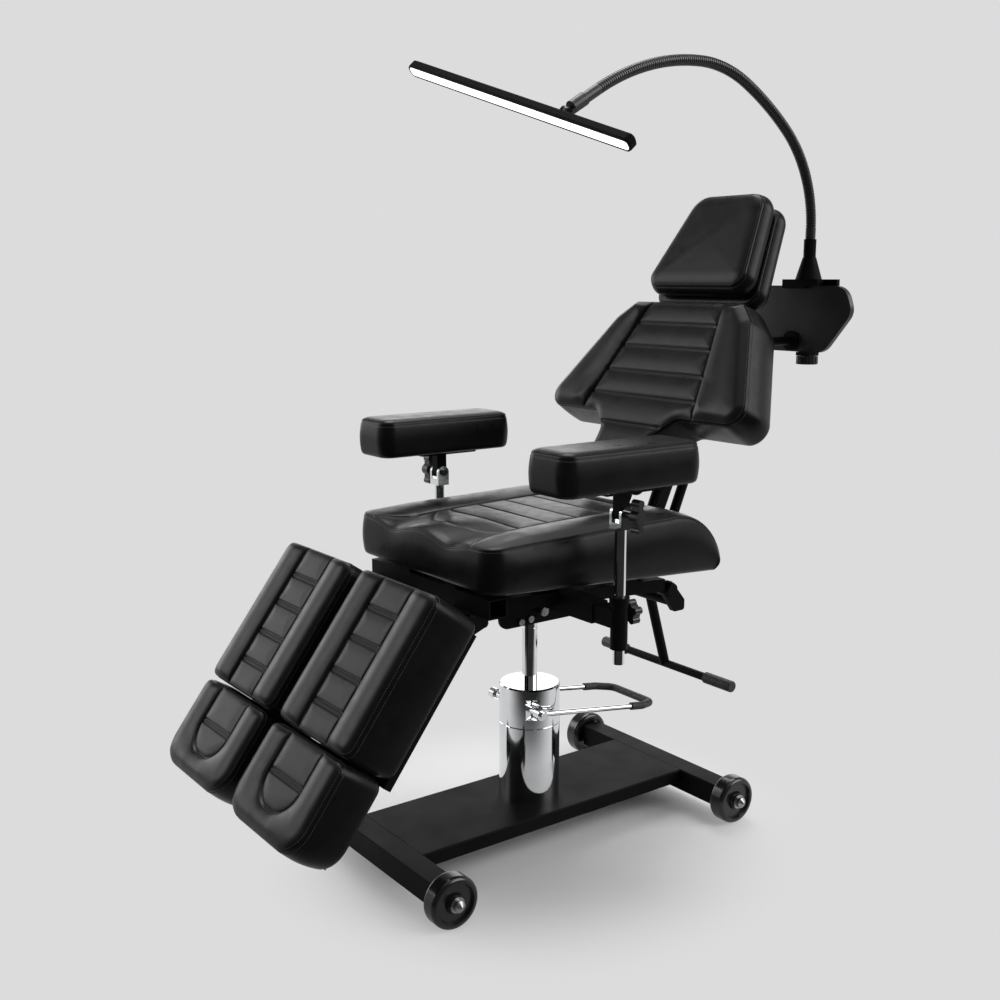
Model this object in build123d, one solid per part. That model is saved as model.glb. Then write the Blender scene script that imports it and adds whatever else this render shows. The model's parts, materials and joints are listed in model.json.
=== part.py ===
from build123d import *
import os
from math import atan2, cos, degrees, hypot, pi, radians, sin

os.makedirs("parts", exist_ok=True)

# A tattoo chair in millimetres. The origin is on the floor under the pump's axis, +Z is up,
# the sitter faces -Y and the sitter's left hand is on +X.

# Shared clearances and cuts
overrun = 20.0
fit = 0.05
slide_fit = 0.1
soft_gap = 0.3
least_round = 2.5

# Base: deck, crossbars, axles and wheels
deck_half_width = 110.5
deck_top = 77.0
deck_plate = 4.0
deck_skirt = 28.0
deck_bevel = 2.5
bar_height = 48.0
bar_width = 49.0
bar_wall = 3.0
bar_half_length = 219.7
bar_round = 2.0
half_wheelbase = 363.6
wheel_radius = 50.0
wheel_width = 38.0
wheel_side_gap = 1.5
wheel_round = 9.0
wheel_rim = 11.0
web_depth = 7.0
web_slope = 3.0
wheel_hub_radius = 17.0
axle_radius = 8.0
axle_grip = 22.0
washer_radius = 15.0
washer_thickness = 2.0
nut_radius = 11.0
nut_length = 8.0
nut_point_length = 7.0
nut_point_radius = 2.5

# Pump and pedal
pump_radius = 63.45
pump_wall = 4.0
pump_floor = 6.0
pump_joint_height = 238.0
pump_top = 321.6
pump_bevel = 1.2
head_bevel = 3.0
head_spigot = 18.0
pedal_axle_y = -33.0
pedal_axle_height = 279.0
pedal_axle_radius = 7.0
pedal_axle_half_length = 92.0
pedal_slot_width = 26.0
pedal_slot_height = 44.0
pedal_slot_depth = 9.0
pedal_hub_radius = 12.0
pedal_hub_width = 16.0
pedal_rod_radius = 5.5
pedal_half_width = 78.0
pedal_end_half_width = 62.0
pedal_slope = 8.5
pedal_straight = 286.0
pedal_reach = 326.6
pedal_bend = 20.0
grip_start = 251.8
grip_radius = 8.2

# Ram and swivel bearing
ram_radius = 16.0
ram_bottom = 212.0
ram_top = 508.0
ram_line_height = 440.0
ram_line_width = 1.6
ram_line_depth = 0.8
bearing_radius = 24.0
bearing_flange_radius = 30.0
bearing_flange_thickness = 3.5

# Seat hub and cross tube
hub_bottom = 462.0
hub_half_width = 45.0
hub_half_depth = 52.0
cheek_thickness = 5.0
cheek_front = -115.0
cheek_rear = 75.0
cheek_round = 22.0
hub_top_plate = 6.0
carrier_side = 39.5
carrier_wall = 2.6
carrier_y = -23.0
carrier_bottom = 510.5
carrier_half_length = 244.5
riser_inner = 60.0
riser_outer = 100.0
bolt_radius = 7.0
bolt_height = 5.0
bolt_place_a = (-62.0, 471.0)
bolt_place_b = (-38.0, 474.0)
hub_knob_place = (-13.0, 489.0)
hub_knob_radius = 10.0
hub_knob_length = 18.0
hub_knob_bevel = 2.5

# Seat underside, board and rails
seat_front = -270.0
seat_front_bottom = 593.5
seat_tilt = 3.27
board_thickness = 12.0
board_inset = 16.0
board_round = 30.0
rail_inner = 118.0
rail_width = 24.0
rail_height = 26.0
rail_drop = 31.0
rail_wall = 2.5
rail_end_y = 246.0
rail_riser_start = 140.0
rail_riser_length = 30.0
pivot_y = 264.0
pivot_height = 508.0
pivot_shaft_radius = 8.0
pivot_boss_radius = 15.0
pivot_head_radius = 13.0
pivot_head_thickness = 6.0
pivot_plate_thickness = 12.0
pivot_plate_round = 6.0
tail_y = 296.0
tail_height = 470.0
tail_radius = 10.0
tail_plate_margin = 15.0

# Leg hinge rail
hinge_rail_rear = -213.0
hinge_rail_depth = 40.0
hinge_rail_bottom = 543.5
hinge_rail_height = 36.5
hinge_rail_wall = 2.5
hinge_rail_half_length = 207.0
leg_pivot_y = -262.0
leg_pivot_height = 540.0
knuckle_radius = 8.5
knuckle_web = 7.5
knuckle_web_length = 34.0
leg_pin_radius = 4.0
leg_pin_reach = 60.5
rail_knuckle_inner = 20.0
rail_knuckle_outer = 40.0

# Seat cushion
seat_half_width = 230.0
seat_front_top = 677.5
seat_rear_top_y = 178.0
seat_rear_top = 686.0
seat_fall_y = 261.0
seat_fall_height = 665.0
seat_end_y = 321.0
seat_end_height = 573.0
seat_end_bottom_y = 298.0
seat_crown = 9.0
seat_thigh_dip = 16.0
seat_dip_length = 90.0
seat_side_round = 26.0
seat_front_round = 20.0
seat_panel_half_width = 122.0
seat_groove_radius = 4.0
seat_low_pull_share = 0.25
seat_fall_pull_share = 0.8
seat_channel_shares = (-0.34, -0.17, 0.0, 0.17, 0.34)
seat_notch_half_width = 70.0
seat_notch_y = 215.0
# Each row: place across, crown, dip of the front edge, rounding of the side
seat_station_shares = (
    (0.00, 0.2, -0.25, 0.0),
    (0.20, 0.2, 0.40, 0.0),
    (0.42, 0.3, 1.00, 0.0),
    (0.56, 0.6, 0.70, 0.0),
    (0.75, 1.0, 0.10, 0.0),
    (0.88, 0.7, 0.00, 0.1),
    (0.96, 0.0, 0.00, 0.4),
    (1.00, -1.0, 0.00, 1.0),
)

# Struts and foot bar carried by the rear rail
strut_x = 35.0
strut_low_y = 307.0
strut_low_height = 490.0
strut_high_y = 422.0
strut_high_height = 760.0
strut_barrel_radius = 11.0
strut_rod_radius = 5.0
strut_barrel_start = 22.0
strut_barrel_end = 195.0
strut_rod_start = 68.0
strut_eye_radius = 7.0
strut_eye_width = 12.0
strut_pin_radius = 4.0
strut_cheek = 3.0
strut_cheek_gap = 1.5
foot_pivot_y = 330.0
foot_pivot_height = 487.0
foot_pin_radius = 6.0
foot_boss_radius = 14.0
foot_boss_half_width = 12.7
foot_cheek = 5.0
foot_strut_radius = 11.0
foot_bar_y = 391.0
foot_bar_height = 285.0
foot_bar_radius = 9.0
foot_bar_half_length = 204.0
foot_grip_radius = 12.5
foot_grip_length = 78.0
foot_grip_end = 3.0

# Armrests
arm_x = 299.0
arm_tube_inner_end = 120.0
arm_tube_wall = 2.5
post_radius = 11.0
post_bottom = 443.0
sleeve_radius = 16.3
sleeve_bottom = 472.0
sleeve_top = 572.0
sleeve_collar_radius = 19.0
sleeve_collar_height = 12.0
clevis_height = 28.0
clevis_gap = 20.0
clevis_plate = 6.0
clevis_half_depth = 14.0
clevis_floor = 12.0
tilt_height = 728.0
tilt_stud_radius = 5.0
tilt_tongue_radius = 12.0
bracket_top_plate = 6.0
bracket_half_width = 40.0
bracket_half_length = 70.0
pad_half_width = 55.0
pad_front = -190.0
pad_rear = 127.0
bracket_height = 50.0
pad_seam_height = 66.0
pad_crown = 11.0
pad_round = 32.0
pad_offset = -3.0
pad_draw = 26.6
star_stud_radius = 4.0
star_height = 538.0
star_start = 20.5
star_thickness = 17.0
star_radius = 17.0
star_lobe_radius = 7.0
star_lobes = 5
wing_start = 34.0
wing_thickness = 20.0
wing_hub_radius = 12.0
wing_half_length = 32.0
wing_tip_radius = 7.0
wing_leaf_width = 9.0

# Backrest
back_y = 297.0
back_height = 880.0
back_angle = 57.1
back_depth = 88.0
back_crown = 15.0
tongue_depth = 40.0
tongue_taper_top = -35.0
back_half_outline = (
    (80.0, -190.0),
    (84.0, -62.0),
    (128.0, -22.0),
    (312.0, -22.0),
    (203.0, 216.0),
    (160.0, 258.0),
)
back_rounds = (12.0, 20.0, 22.0, 36.0, 45.0, 14.0)
back_panel_seam = ((108.0, 249.0), (168.0, -20.0))
back_channels = (200.0, 141.0, 78.0, 19.0, -48.0)
back_groove_radius = 4.0
back_plate_half_width = 150.0
back_plate_bottom = -15.0
back_plate_top = 235.0
back_plate_thickness = 7.0
back_bar_x = 55.0
back_bar_thickness = 10.0
back_bar_depth = 28.0
back_bar_offset = 30.5
back_bar_angle = 65.0
back_bar_length = 470.0
back_spacer_bottom = 0.0
back_spacer_top = 25.0
back_spacer_reach = 50.0
strut_lug_height = 20.0
tie_radius = 10.0

# Head slide and headrest
guide_x = 40.0
guide_depth = 107.0
guide_radius = 11.0
guide_bottom = 150.0
guide_top = 232.0
head_rod_radius = 8.0
head_rod_bottom = 110.0
head_yoke_height = 18.0
head_yoke_half_width = 50.0
head_yoke_thickness = 16.0
head_y = 451.0
head_height = 1144.0
head_angle = 59.0
head_layer = 42.0
head_crown = 10.0
pillow_half_outline = ((148.0, -15.0), (98.0, 216.0))
pillow_rounds = (30.0, 45.0)
head_cushion_half_outline = ((156.0, -30.0), (103.0, 210.0))
head_cushion_rounds = (30.0, 45.0)
head_pivot_up = 80.0
head_pivot_back = 102.0
head_barrel_radius = 8.0
head_barrel_half_width = 19.7
head_pin_radius = 4.0
head_pin_half_length = 36.0
head_plate_half_width = 55.0
head_plate_half_height = 35.0
head_plate_thickness = 6.0
head_ear_inner = 20.0
head_ear_outer = 34.0

# Rear panel and its two arms
panel_front = 690.0
panel_thickness = 15.0
panel_half_outline = ((165.0, 986.0), (238.0, 1075.0), (218.0, 1133.0))
panel_rounds = (42.0, 34.0, 40.0)
panel_edge_round = 4.0
panel_arm_x = 75.0
panel_arm_radius = 10.0
panel_arm_height = 1010.0
panel_arm_start = 502.0
panel_flange_radius = 22.0
panel_flange_thickness = 5.0

# Lamp clamp and screw
lamp_x = 116.0
lamp_y = 690.0
clamp_plate = 14.0
clamp_half_width = 33.0
clamp_lip = 10.0
clamp_ear_length = 66.0
clamp_ear_drop = 6.0
clamp_spine_half_width = 12.0
clamp_jaw_thickness = 8.0
clamp_jaw_half_width = 18.0
clamp_cone_radius = 29.0
clamp_cone_top_radius = 14.5
clamp_cone_height = 48.0
screw_radius = 5.0
screw_knob_radius = 24.0
screw_knob_height = 18.0
screw_flutes = 18
screw_flute_radius = 1.9
screw_knob_edge = 1.2
screw_knob_gap = 1.0

# Lamp post, gooseneck and light bar
post_spigot_radius = 9.0
post_spigot_length = 40.0
lamp_post_radius = 13.5
lamp_post_top = 1234.0
lamp_post_gap = 0.3
neck_start = 22.0
neck_end = 46.0
neck_radius = 11.0
neck_groove_depth = 1.1
neck_bore = 6.0
neck_bend_radii = (267.0, 647.0, 287.0, 543.0)
neck_bend_turns = (50.0, 13.6, 27.6, 29.6)
neck_ribs = 144
neck_bore_steps = 24
rib_end_share = 0.6
rib_groove_shares = (0.7, 0.9)
collar_radius = 13.0
collar_overlap = 6.0
collar_length = 36.0
tongue_disc_radius = 8.0
tongue_disc_width = 8.0
bar_direction_shares = (-0.932, -0.171, 0.32)
light_roll = 43.0
bar_to_collar = 14.0
bar_end_to_joint = 180.0
light_length = 597.0
light_width = 30.0
light_thickness = 20.0
light_round = 13.0
light_edge = 4.0
light_lower_edge = 1.0
light_joint_rise = 18.5
light_pin_radius = 3.0
light_lug_thickness = 4.0
light_lug_radius = 8.5
diffuser_margin = 5.0
diffuser_depth = 2.5

# Legs
leg_x = 145.0
leg_y = -394.0
leg_height = 622.0
leg_angle = 53.3
leg_half_width = 129.0
calf_start = 1.5
calf_end = 306.0
calf_depth = 94.0
leg_crown = 12.0
calf_top_round = 22.0
calf_bottom_round = 22.0
calf_panel_half_width = 50.0
calf_grooves = (63.0, 124.0, 188.0, 249.0)
leg_groove_radius = 4.0
foot_start = 320.0
foot_end = 495.0
foot_depth = 82.0
foot_top_round = 20.0
foot_bottom_round = 55.0
foot_panel_half_width = 59.0
foot_panel_length = 127.0
foot_panel_bend = 50.0
foot_groove = 72.0
leg_plate_start = 21.0
leg_plate_end = 321.0
leg_plate_half_width = 115.0
leg_plate_thickness = 6.0
leg_flange_depth = 16.0
leg_flange_thickness = 4.0
leg_arm_width = 20.0
leg_arm_foot = 90.0
leg_arm_start = 6.0
leg_arm_along_share = 0.6
leg_arm_back_share = 0.7
leg_arm_front_share = 0.5
slide_x = 45.0
slide_outer = 20.0
slide_bore = 16.0
slide_start = 60.0
slide_end = 318.0
slide_bar_start = 150.0
slide_bar_end = 480.0
slide_plate_start = 335.0
slide_plate_end = 482.0
slide_plate_half_width = 90.0
slide_plate_thickness = 8.0
slide_block_start = 345.0
slide_block_end = 475.0

# Cushion layers: share of the depth or crown, then how far the side is drawn in
side_layer_shares = ((-1.0, 0.10), (-0.92, 0.0), (-0.5, 0.06), (-0.10, 0.0))
crown_layer_shares = ((0.0, 0.06), (0.55, 0.40), (1.0, 1.0))
cushion_draw = 38.0

# Places worked out from the sizes above
seat_plane = Plane(
    origin=(0, seat_front, seat_front_bottom),
    x_dir=(1, 0, 0),
    z_dir=(0, sin(radians(seat_tilt)), cos(radians(seat_tilt))),
)
back_plane = Plane(
    origin=(0, back_y, back_height),
    x_dir=(1, 0, 0),
    z_dir=(0, -sin(radians(back_angle)), cos(radians(back_angle))),
)
head_plane = Plane(
    origin=(0, head_y, head_height),
    x_dir=(1, 0, 0),
    z_dir=(0, -sin(radians(head_angle)), cos(radians(head_angle))),
)
# On the leg plane local Y points up the leg, so a distance down the leg is negative there
leg_plane = Plane(
    origin=(leg_x, leg_y, leg_height),
    x_dir=(1, 0, 0),
    z_dir=(0, -sin(radians(leg_angle)), cos(radians(leg_angle))),
)
bar_bottom = deck_top - bar_height
clevis_bottom = tilt_height - clevis_height
pad_bottom = tilt_height + bracket_height
deck_end = half_wheelbase - bar_width / 2
carrier_top = carrier_bottom + carrier_side
carrier_height = carrier_bottom + carrier_side / 2
carrier_front = carrier_y - carrier_side / 2
carrier_back = carrier_y + carrier_side / 2
rail_outer = rail_inner + rail_width
rail_middle = rail_inner + rail_width / 2
far = 2 * light_length


def cuboid(x0, x1, y0, y1, z0, z1):
    """A block between two opposite corners."""
    middle = Pos((x0 + x1) / 2, (y0 + y1) / 2, (z0 + z1) / 2)
    return middle * Box(abs(x1 - x0), abs(y1 - y0), abs(z1 - z0))


def rod(start, end, radius):
    """A round bar from one point to another."""
    start = Vector(*start)
    end = Vector(*end)
    along = end - start
    place = Plane(origin=start, z_dir=along)
    return place * Cylinder(radius, along.length, align=(Align.CENTER, Align.CENTER, Align.MIN))


def rod_x(x0, x1, y, z, radius):
    """A round bar along X."""
    return rod((x0, y, z), (x1, y, z), radius)


def spun(profile, origin, direction, rounded=0):
    """A turned solid from (radius, height) points; the widest corners can be rounded."""
    face = make_face(Polyline(*profile, close=True))
    if rounded > 0:
        face = fillet(face.vertices().group_by(Axis.X)[-1], rounded)
    return Plane(origin=origin, z_dir=direction) * revolve(Plane.XZ * face, Axis.Z)


def plate_x(x0, x1, corners, rounding):
    """A plate square to X from (y, z) corners, all rounded alike."""
    outline = FilletPolyline(*corners, radius=rounding, close=True)
    place = Plane(origin=(x0, 0, 0), x_dir=(0, 1, 0), z_dir=(1, 0, 0))
    return extrude(place * make_face(outline), x1 - x0)


def mirrored(solid):
    """The same piece for the other side of the chair."""
    return mirror(solid, Plane.YZ)


def both_halves(half):
    """A closed outline from its right half, which runs from the bottom to the top."""
    return [(x, y) for x, y in half] + [(-x, y) for x, y in reversed(half)]


def both_rounds(half):
    """The corner radii that go with both_halves."""
    return list(half) + list(reversed(half))


def drawn_in(corners, rounds, amount):
    """An outline with every side moved in by one amount, and radii to suit."""
    moved = []
    radii = []
    count = len(corners)
    for i in range(count):
        here = Vector(*corners[i])
        first = (here - Vector(*corners[i - 1])).normalized()
        second = (Vector(*corners[(i + 1) % count]) - here).normalized()
        left_1 = Vector(-first.Y, first.X)
        left_2 = Vector(-second.Y, second.X)
        point = here + (left_1 + left_2) * (amount / (1 + left_1.dot(left_2)))
        turns_in = first.cross(second).Z > 0
        moved.append((point.X, point.Y))
        radii.append(max(rounds[i] - amount if turns_in else rounds[i] + amount, least_round))
    return moved, radii


def cushion(plane, corners, rounds, depth, crown, draw):
    """An upholstered block: a flat back, sides drawn in along the middle and a crowned face."""
    layers = [(depth * share, draw * pull) for share, pull in side_layer_shares]
    layers += [(crown * share, draw * pull) for share, pull in crown_layer_shares]
    rings = []
    for height, amount in layers:
        points, radii = drawn_in(corners, rounds, amount)
        ring = FilletPolyline(*points, radius=radii, close=True)
        rings.append(Pos(0, 0, height) * make_face(ring))
    return plane * loft(rings, ruled=True)


def groove(plane, start, end, height, radius):
    """The cutter of a straight sewn channel on a cushion's face."""
    return plane * rod((start[0], start[1], height), (end[0], end[1], height), radius)


# Base

def base_deck():
    deck = cuboid(-deck_half_width, deck_half_width, -deck_end, deck_end, deck_top - deck_skirt, deck_top)
    inside = deck_half_width - deck_plate
    low = deck_top - deck_skirt - overrun
    deck -= cuboid(-inside, inside, -far, far, low, deck_top - deck_plate)
    edges = deck.edges().filter_by(Axis.Y).group_by(Axis.Z)[-1]
    return chamfer(edges, deck_bevel)


def crossbar(side):
    y = side * half_wheelbase
    half = bar_width / 2
    bar = cuboid(-bar_half_length, bar_half_length, y - half, y + half, bar_bottom, deck_top)
    bar = fillet(bar.edges().filter_by(Axis.X), bar_round)
    inner = bar_half_length - bar_wall
    half -= bar_wall
    bar -= cuboid(-inner, inner, y - half, y + half, bar_bottom + bar_wall, deck_top - bar_wall)
    return bar - rod_x(-far, far, y, wheel_radius, axle_radius + fit)


def axle_bolt(side_x, side_y):
    outer = axle_grip + wheel_width + 2 * wheel_side_gap
    nut = outer + washer_thickness
    profile = (
        (0, 0),
        (axle_radius, 0),
        (axle_radius, outer),
        (washer_radius, outer),
        (washer_radius, nut),
        (nut_radius, nut),
        (nut_radius, nut + nut_length),
        (nut_point_radius, nut + nut_length + nut_point_length),
        (0, nut + nut_length + nut_point_length),
    )
    start = (side_x * (bar_half_length - axle_grip), side_y * half_wheelbase, wheel_radius)
    return spun(profile, start, (side_x, 0, 0))


def wheel(side_x, side_y):
    rim = wheel_radius - wheel_rim
    profile = (
        (axle_radius + fit, 0),
        (wheel_hub_radius, 0),
        (wheel_hub_radius + web_slope, web_depth),
        (rim - web_slope, web_depth),
        (rim, 0),
        (wheel_radius, 0),
        (wheel_radius, wheel_width),
        (rim, wheel_width),
        (rim - web_slope, wheel_width - web_depth),
        (wheel_hub_radius + web_slope, wheel_width - web_depth),
        (wheel_hub_radius, wheel_width),
        (axle_radius + fit, wheel_width),
    )
    start = (side_x * (bar_half_length + wheel_side_gap), side_y * half_wheelbase, wheel_radius)
    return spun(profile, start, (side_x, 0, 0), wheel_round)


# Pump and pedal

def pump_cylinder():
    shell = rod((0, 0, deck_top), (0, 0, pump_joint_height), pump_radius)
    shell -= rod((0, 0, deck_top + pump_floor), (0, 0, pump_top), pump_radius - pump_wall)
    outer = shell.edges().filter_by(GeomType.CIRCLE).group_by(Axis.Z)[-1].sort_by(SortBy.RADIUS)[-1]
    return chamfer(outer, pump_bevel)


def pump_head():
    profile = (
        (ram_radius + fit, pump_joint_height - head_spigot),
        (pump_radius - pump_wall - fit, pump_joint_height - head_spigot),
        (pump_radius - pump_wall - fit, pump_joint_height),
        (pump_radius - pump_bevel, pump_joint_height),
        (pump_radius, pump_joint_height + pump_bevel),
        (pump_radius, pump_top - head_bevel),
        (pump_radius - head_bevel, pump_top),
        (ram_radius + fit, pump_top),
    )
    head = spun(profile, (0, 0, 0), (0, 0, 1))
    head -= rod_x(-far, far, pedal_axle_y, pedal_axle_height, pedal_axle_radius + fit)
    face = (pump_radius**2 - pedal_axle_y**2) ** 0.5
    y0 = pedal_axle_y - pedal_slot_width / 2
    z0 = pedal_axle_height - pedal_slot_height / 2
    for side in (-1, 1):
        inner = side * (face - pedal_slot_depth)
        head -= cuboid(inner, side * far, y0, y0 + pedal_slot_width, z0, z0 + pedal_slot_height)
    return head


def pedal_path(start):
    """The bent rod's centre line on the pedal plane, from one arm to the other."""
    points = (
        (pedal_half_width, start),
        (pedal_half_width, pedal_straight),
        (pedal_end_half_width, pedal_reach),
        (-pedal_end_half_width, pedal_reach),
        (-pedal_half_width, pedal_straight),
        (-pedal_half_width, start),
    )
    slope = radians(pedal_slope)
    plane = Plane(
        origin=(0, pedal_axle_y, pedal_axle_height), x_dir=(1, 0, 0), z_dir=(0, sin(slope), cos(slope))
    )
    return plane * FilletPolyline(*points, radius=pedal_bend)


def pedal_sweep(start, radius):
    path = pedal_path(start)
    section = Plane(origin=path @ 0, z_dir=path % 0) * Circle(radius)
    return sweep(section, path=path)


def pedal_loop():
    loop = pedal_sweep(0, pedal_rod_radius)
    half = pedal_axle_half_length
    loop += rod_x(-half, half, pedal_axle_y, pedal_axle_height, pedal_axle_radius)
    for side in (-1, 1):
        middle = side * pedal_half_width
        half = pedal_hub_width / 2
        loop += rod_x(middle - half, middle + half, pedal_axle_y, pedal_axle_height, pedal_hub_radius)
    return loop


def pedal_grip():
    return pedal_sweep(grip_start, grip_radius) - pedal_sweep(0, pedal_rod_radius + fit)


# Ram and swivel bearing

def piston_rod():
    low = ram_line_height - ram_line_width / 2
    profile = (
        (0, ram_bottom),
        (ram_radius, ram_bottom),
        (ram_radius, low),
        (ram_radius - ram_line_depth, low),
        (ram_radius - ram_line_depth, low + ram_line_width),
        (ram_radius, low + ram_line_width),
        (ram_radius, ram_top),
        (0, ram_top),
    )
    return spun(profile, (0, 0, 0), (0, 0, 1))


def swivel_bearing():
    flange_top = hub_bottom - soft_gap
    profile = (
        (ram_radius, flange_top - bearing_flange_thickness),
        (bearing_flange_radius, flange_top - bearing_flange_thickness),
        (bearing_flange_radius, flange_top),
        (bearing_radius, flange_top),
        (bearing_radius, ram_top),
        (ram_radius, ram_top),
    )
    return spun(profile, (0, 0, 0), (0, 0, 1))


# Seat frame

def under_board(solid):
    """The solid cut off where the seat's board rests on it."""
    return solid - seat_plane * cuboid(-far, far, -far, far, 0, far)


def seat_hub():
    outer = hub_half_width + cheek_thickness
    half = hub_half_width
    deep = hub_half_depth
    block = cuboid(-half, half, -deep, deep, hub_bottom, carrier_bottom)
    plate = cuboid(-outer, outer, cheek_front, cheek_rear, carrier_bottom - hub_top_plate, carrier_bottom)
    hub = block + plate
    cheek = cuboid(hub_half_width, outer, cheek_front, cheek_rear, hub_bottom, carrier_bottom)
    corner = cheek.edges().filter_by(Axis.X).group_by(Axis.Z)[0].sort_by(Axis.Y)[0]
    cheek = fillet(corner, cheek_round)
    hub += cheek
    hub += mirrored(cheek)
    return hub - rod((0, 0, hub_bottom - overrun), (0, 0, ram_top + soft_gap), bearing_radius + fit)


def cross_tube():
    half = carrier_half_length
    tube = cuboid(-half, half, carrier_front, carrier_back, carrier_bottom, carrier_top)
    for side in (-1, 1):
        riser = cuboid(
            side * riser_inner, side * riser_outer, carrier_front, carrier_back, carrier_top, seat_front_top
        )
        tube += under_board(riser)
    wall = carrier_wall
    bore = (carrier_front + wall, carrier_back - wall, carrier_bottom + wall, carrier_top - wall)
    return tube - cuboid(-far, far, *bore)


def side_rail():
    """The rail on the sitter's left: two lengths either side of the cross tube, and the pivot plate."""
    rail = seat_plane * cuboid(rail_inner, rail_outer, -far, far, -rail_drop - rail_height, -rail_drop)
    wall = rail_wall
    low = -rail_drop - rail_height + wall
    rail -= seat_plane * cuboid(rail_inner + wall, rail_outer - wall, -far, far, low, -rail_drop - wall)
    front = rail & cuboid(0, far, hinge_rail_rear, carrier_front, 0, far)
    rear = rail & cuboid(0, far, carrier_back, rail_end_y, 0, far)
    riser_end = rail_riser_start + rail_riser_length
    riser = cuboid(rail_inner, rail_outer, rail_riser_start, riser_end, carrier_bottom, seat_front_top)
    riser -= seat_plane * cuboid(-far, far, -far, far, -far, -rail_drop)
    rear += under_board(riser)
    plate_inner = rail_middle - pivot_plate_thickness / 2
    plate_outer = rail_middle + pivot_plate_thickness / 2
    reach = pivot_boss_radius
    corners = (
        (rail_end_y - 2 * reach, pivot_height),
        (pivot_y - reach, pivot_height - reach / 2),
        (tail_y - tail_plate_margin, tail_height - tail_plate_margin),
        (tail_y + tail_plate_margin, tail_height - tail_plate_margin),
        (tail_y + tail_plate_margin, tail_height + tail_plate_margin / 2),
        (pivot_y + reach, pivot_height + reach / 2),
        (pivot_y + reach / 2, pivot_height + reach),
        (rail_end_y - 2 * reach, pivot_height + rail_height),
    )
    rear += plate_x(plate_inner, plate_outer, corners, pivot_plate_round)
    rear += rod_x(rail_inner, rail_outer, pivot_y, pivot_height, pivot_boss_radius)
    rear -= rod_x(0, far, pivot_y, pivot_height, pivot_shaft_radius + fit)
    return [front, rear]


def leg_hinge_rail():
    half = hinge_rail_half_length
    front = hinge_rail_rear - hinge_rail_depth
    top = hinge_rail_bottom + hinge_rail_height
    rail = cuboid(-half, half, front, hinge_rail_rear, hinge_rail_bottom, top)
    wall = hinge_rail_wall
    rail -= cuboid(-far, far, front + wall, hinge_rail_rear - wall, hinge_rail_bottom + wall, top - wall)
    for side in (-1, 1):
        riser = cuboid(side * riser_inner, side * riser_outer, front, hinge_rail_rear, top, seat_front_top)
        rail += under_board(riser)
        middle = side * leg_x
        rail += rod_x(
            middle - leg_pin_reach, middle + leg_pin_reach, leg_pivot_y, leg_pivot_height, leg_pin_radius
        )
        for way in (-1, 1):
            x0 = middle + way * rail_knuckle_inner
            x1 = middle + way * rail_knuckle_outer
            rail += rod_x(x0, x1, leg_pivot_y, leg_pivot_height, knuckle_radius)
            web_end = leg_pivot_y + knuckle_web_length
            rail += cuboid(
                x0, x1, leg_pivot_y, web_end, hinge_rail_bottom - knuckle_web, hinge_rail_bottom
            )
    return rail


def lug(x, thickness, start, end, radius):
    """A flat link square to X between two (y, z) places, with a round nose at the end."""
    x0 = x - thickness / 2
    x1 = x + thickness / 2
    length = hypot(end[0] - start[0], end[1] - start[1])
    angle = degrees(atan2(end[1] - start[1], end[0] - start[0]))
    bar = Pos(0, length / 2, 0) * Box(thickness, length, 2 * radius)
    bar = Pos(x, start[0], start[1]) * Rot(angle, 0, 0) * bar
    return bar + rod_x(x0, x1, end[0], end[1], radius)


def rear_rail():
    tail = (tail_y, tail_height)
    inner = rail_middle - pivot_plate_thickness / 2
    rail = rod_x(-inner, inner, tail_y, tail_height, tail_radius)
    half = strut_eye_width / 2 + strut_cheek_gap + strut_cheek / 2
    for side in (-1, 1):
        for way in (-1, 1):
            x = side * strut_x + way * half
            rail += lug(x, strut_cheek, tail, (strut_low_y, strut_low_height), strut_eye_radius)
        x = side * (foot_boss_half_width + soft_gap + foot_cheek / 2)
        rail += lug(x, foot_cheek, tail, (foot_pivot_y, foot_pivot_height), tail_radius)
    half = foot_boss_half_width + soft_gap + foot_cheek
    return rail + rod_x(-half, half, foot_pivot_y, foot_pivot_height, foot_pin_radius)


def seat_notch():
    """The gap at the rear of the seat that the back's bars swing through."""
    half = seat_notch_half_width
    return cuboid(-half, half, seat_notch_y, seat_end_y + overrun, pivot_height, seat_rear_top + overrun)


def board_blank():
    """The seat's plywood board before its notch is cut."""
    half = seat_half_width - board_inset
    start = board_inset
    end = seat_end_bottom_y - seat_front - board_inset
    corners = ((half, start), (half, end), (-half, end), (-half, start))
    outline = make_face(FilletPolyline(*corners, radius=board_round, close=True))
    return seat_plane * extrude(outline, board_thickness)


def seat_board():
    return board_blank() - seat_notch()


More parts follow.
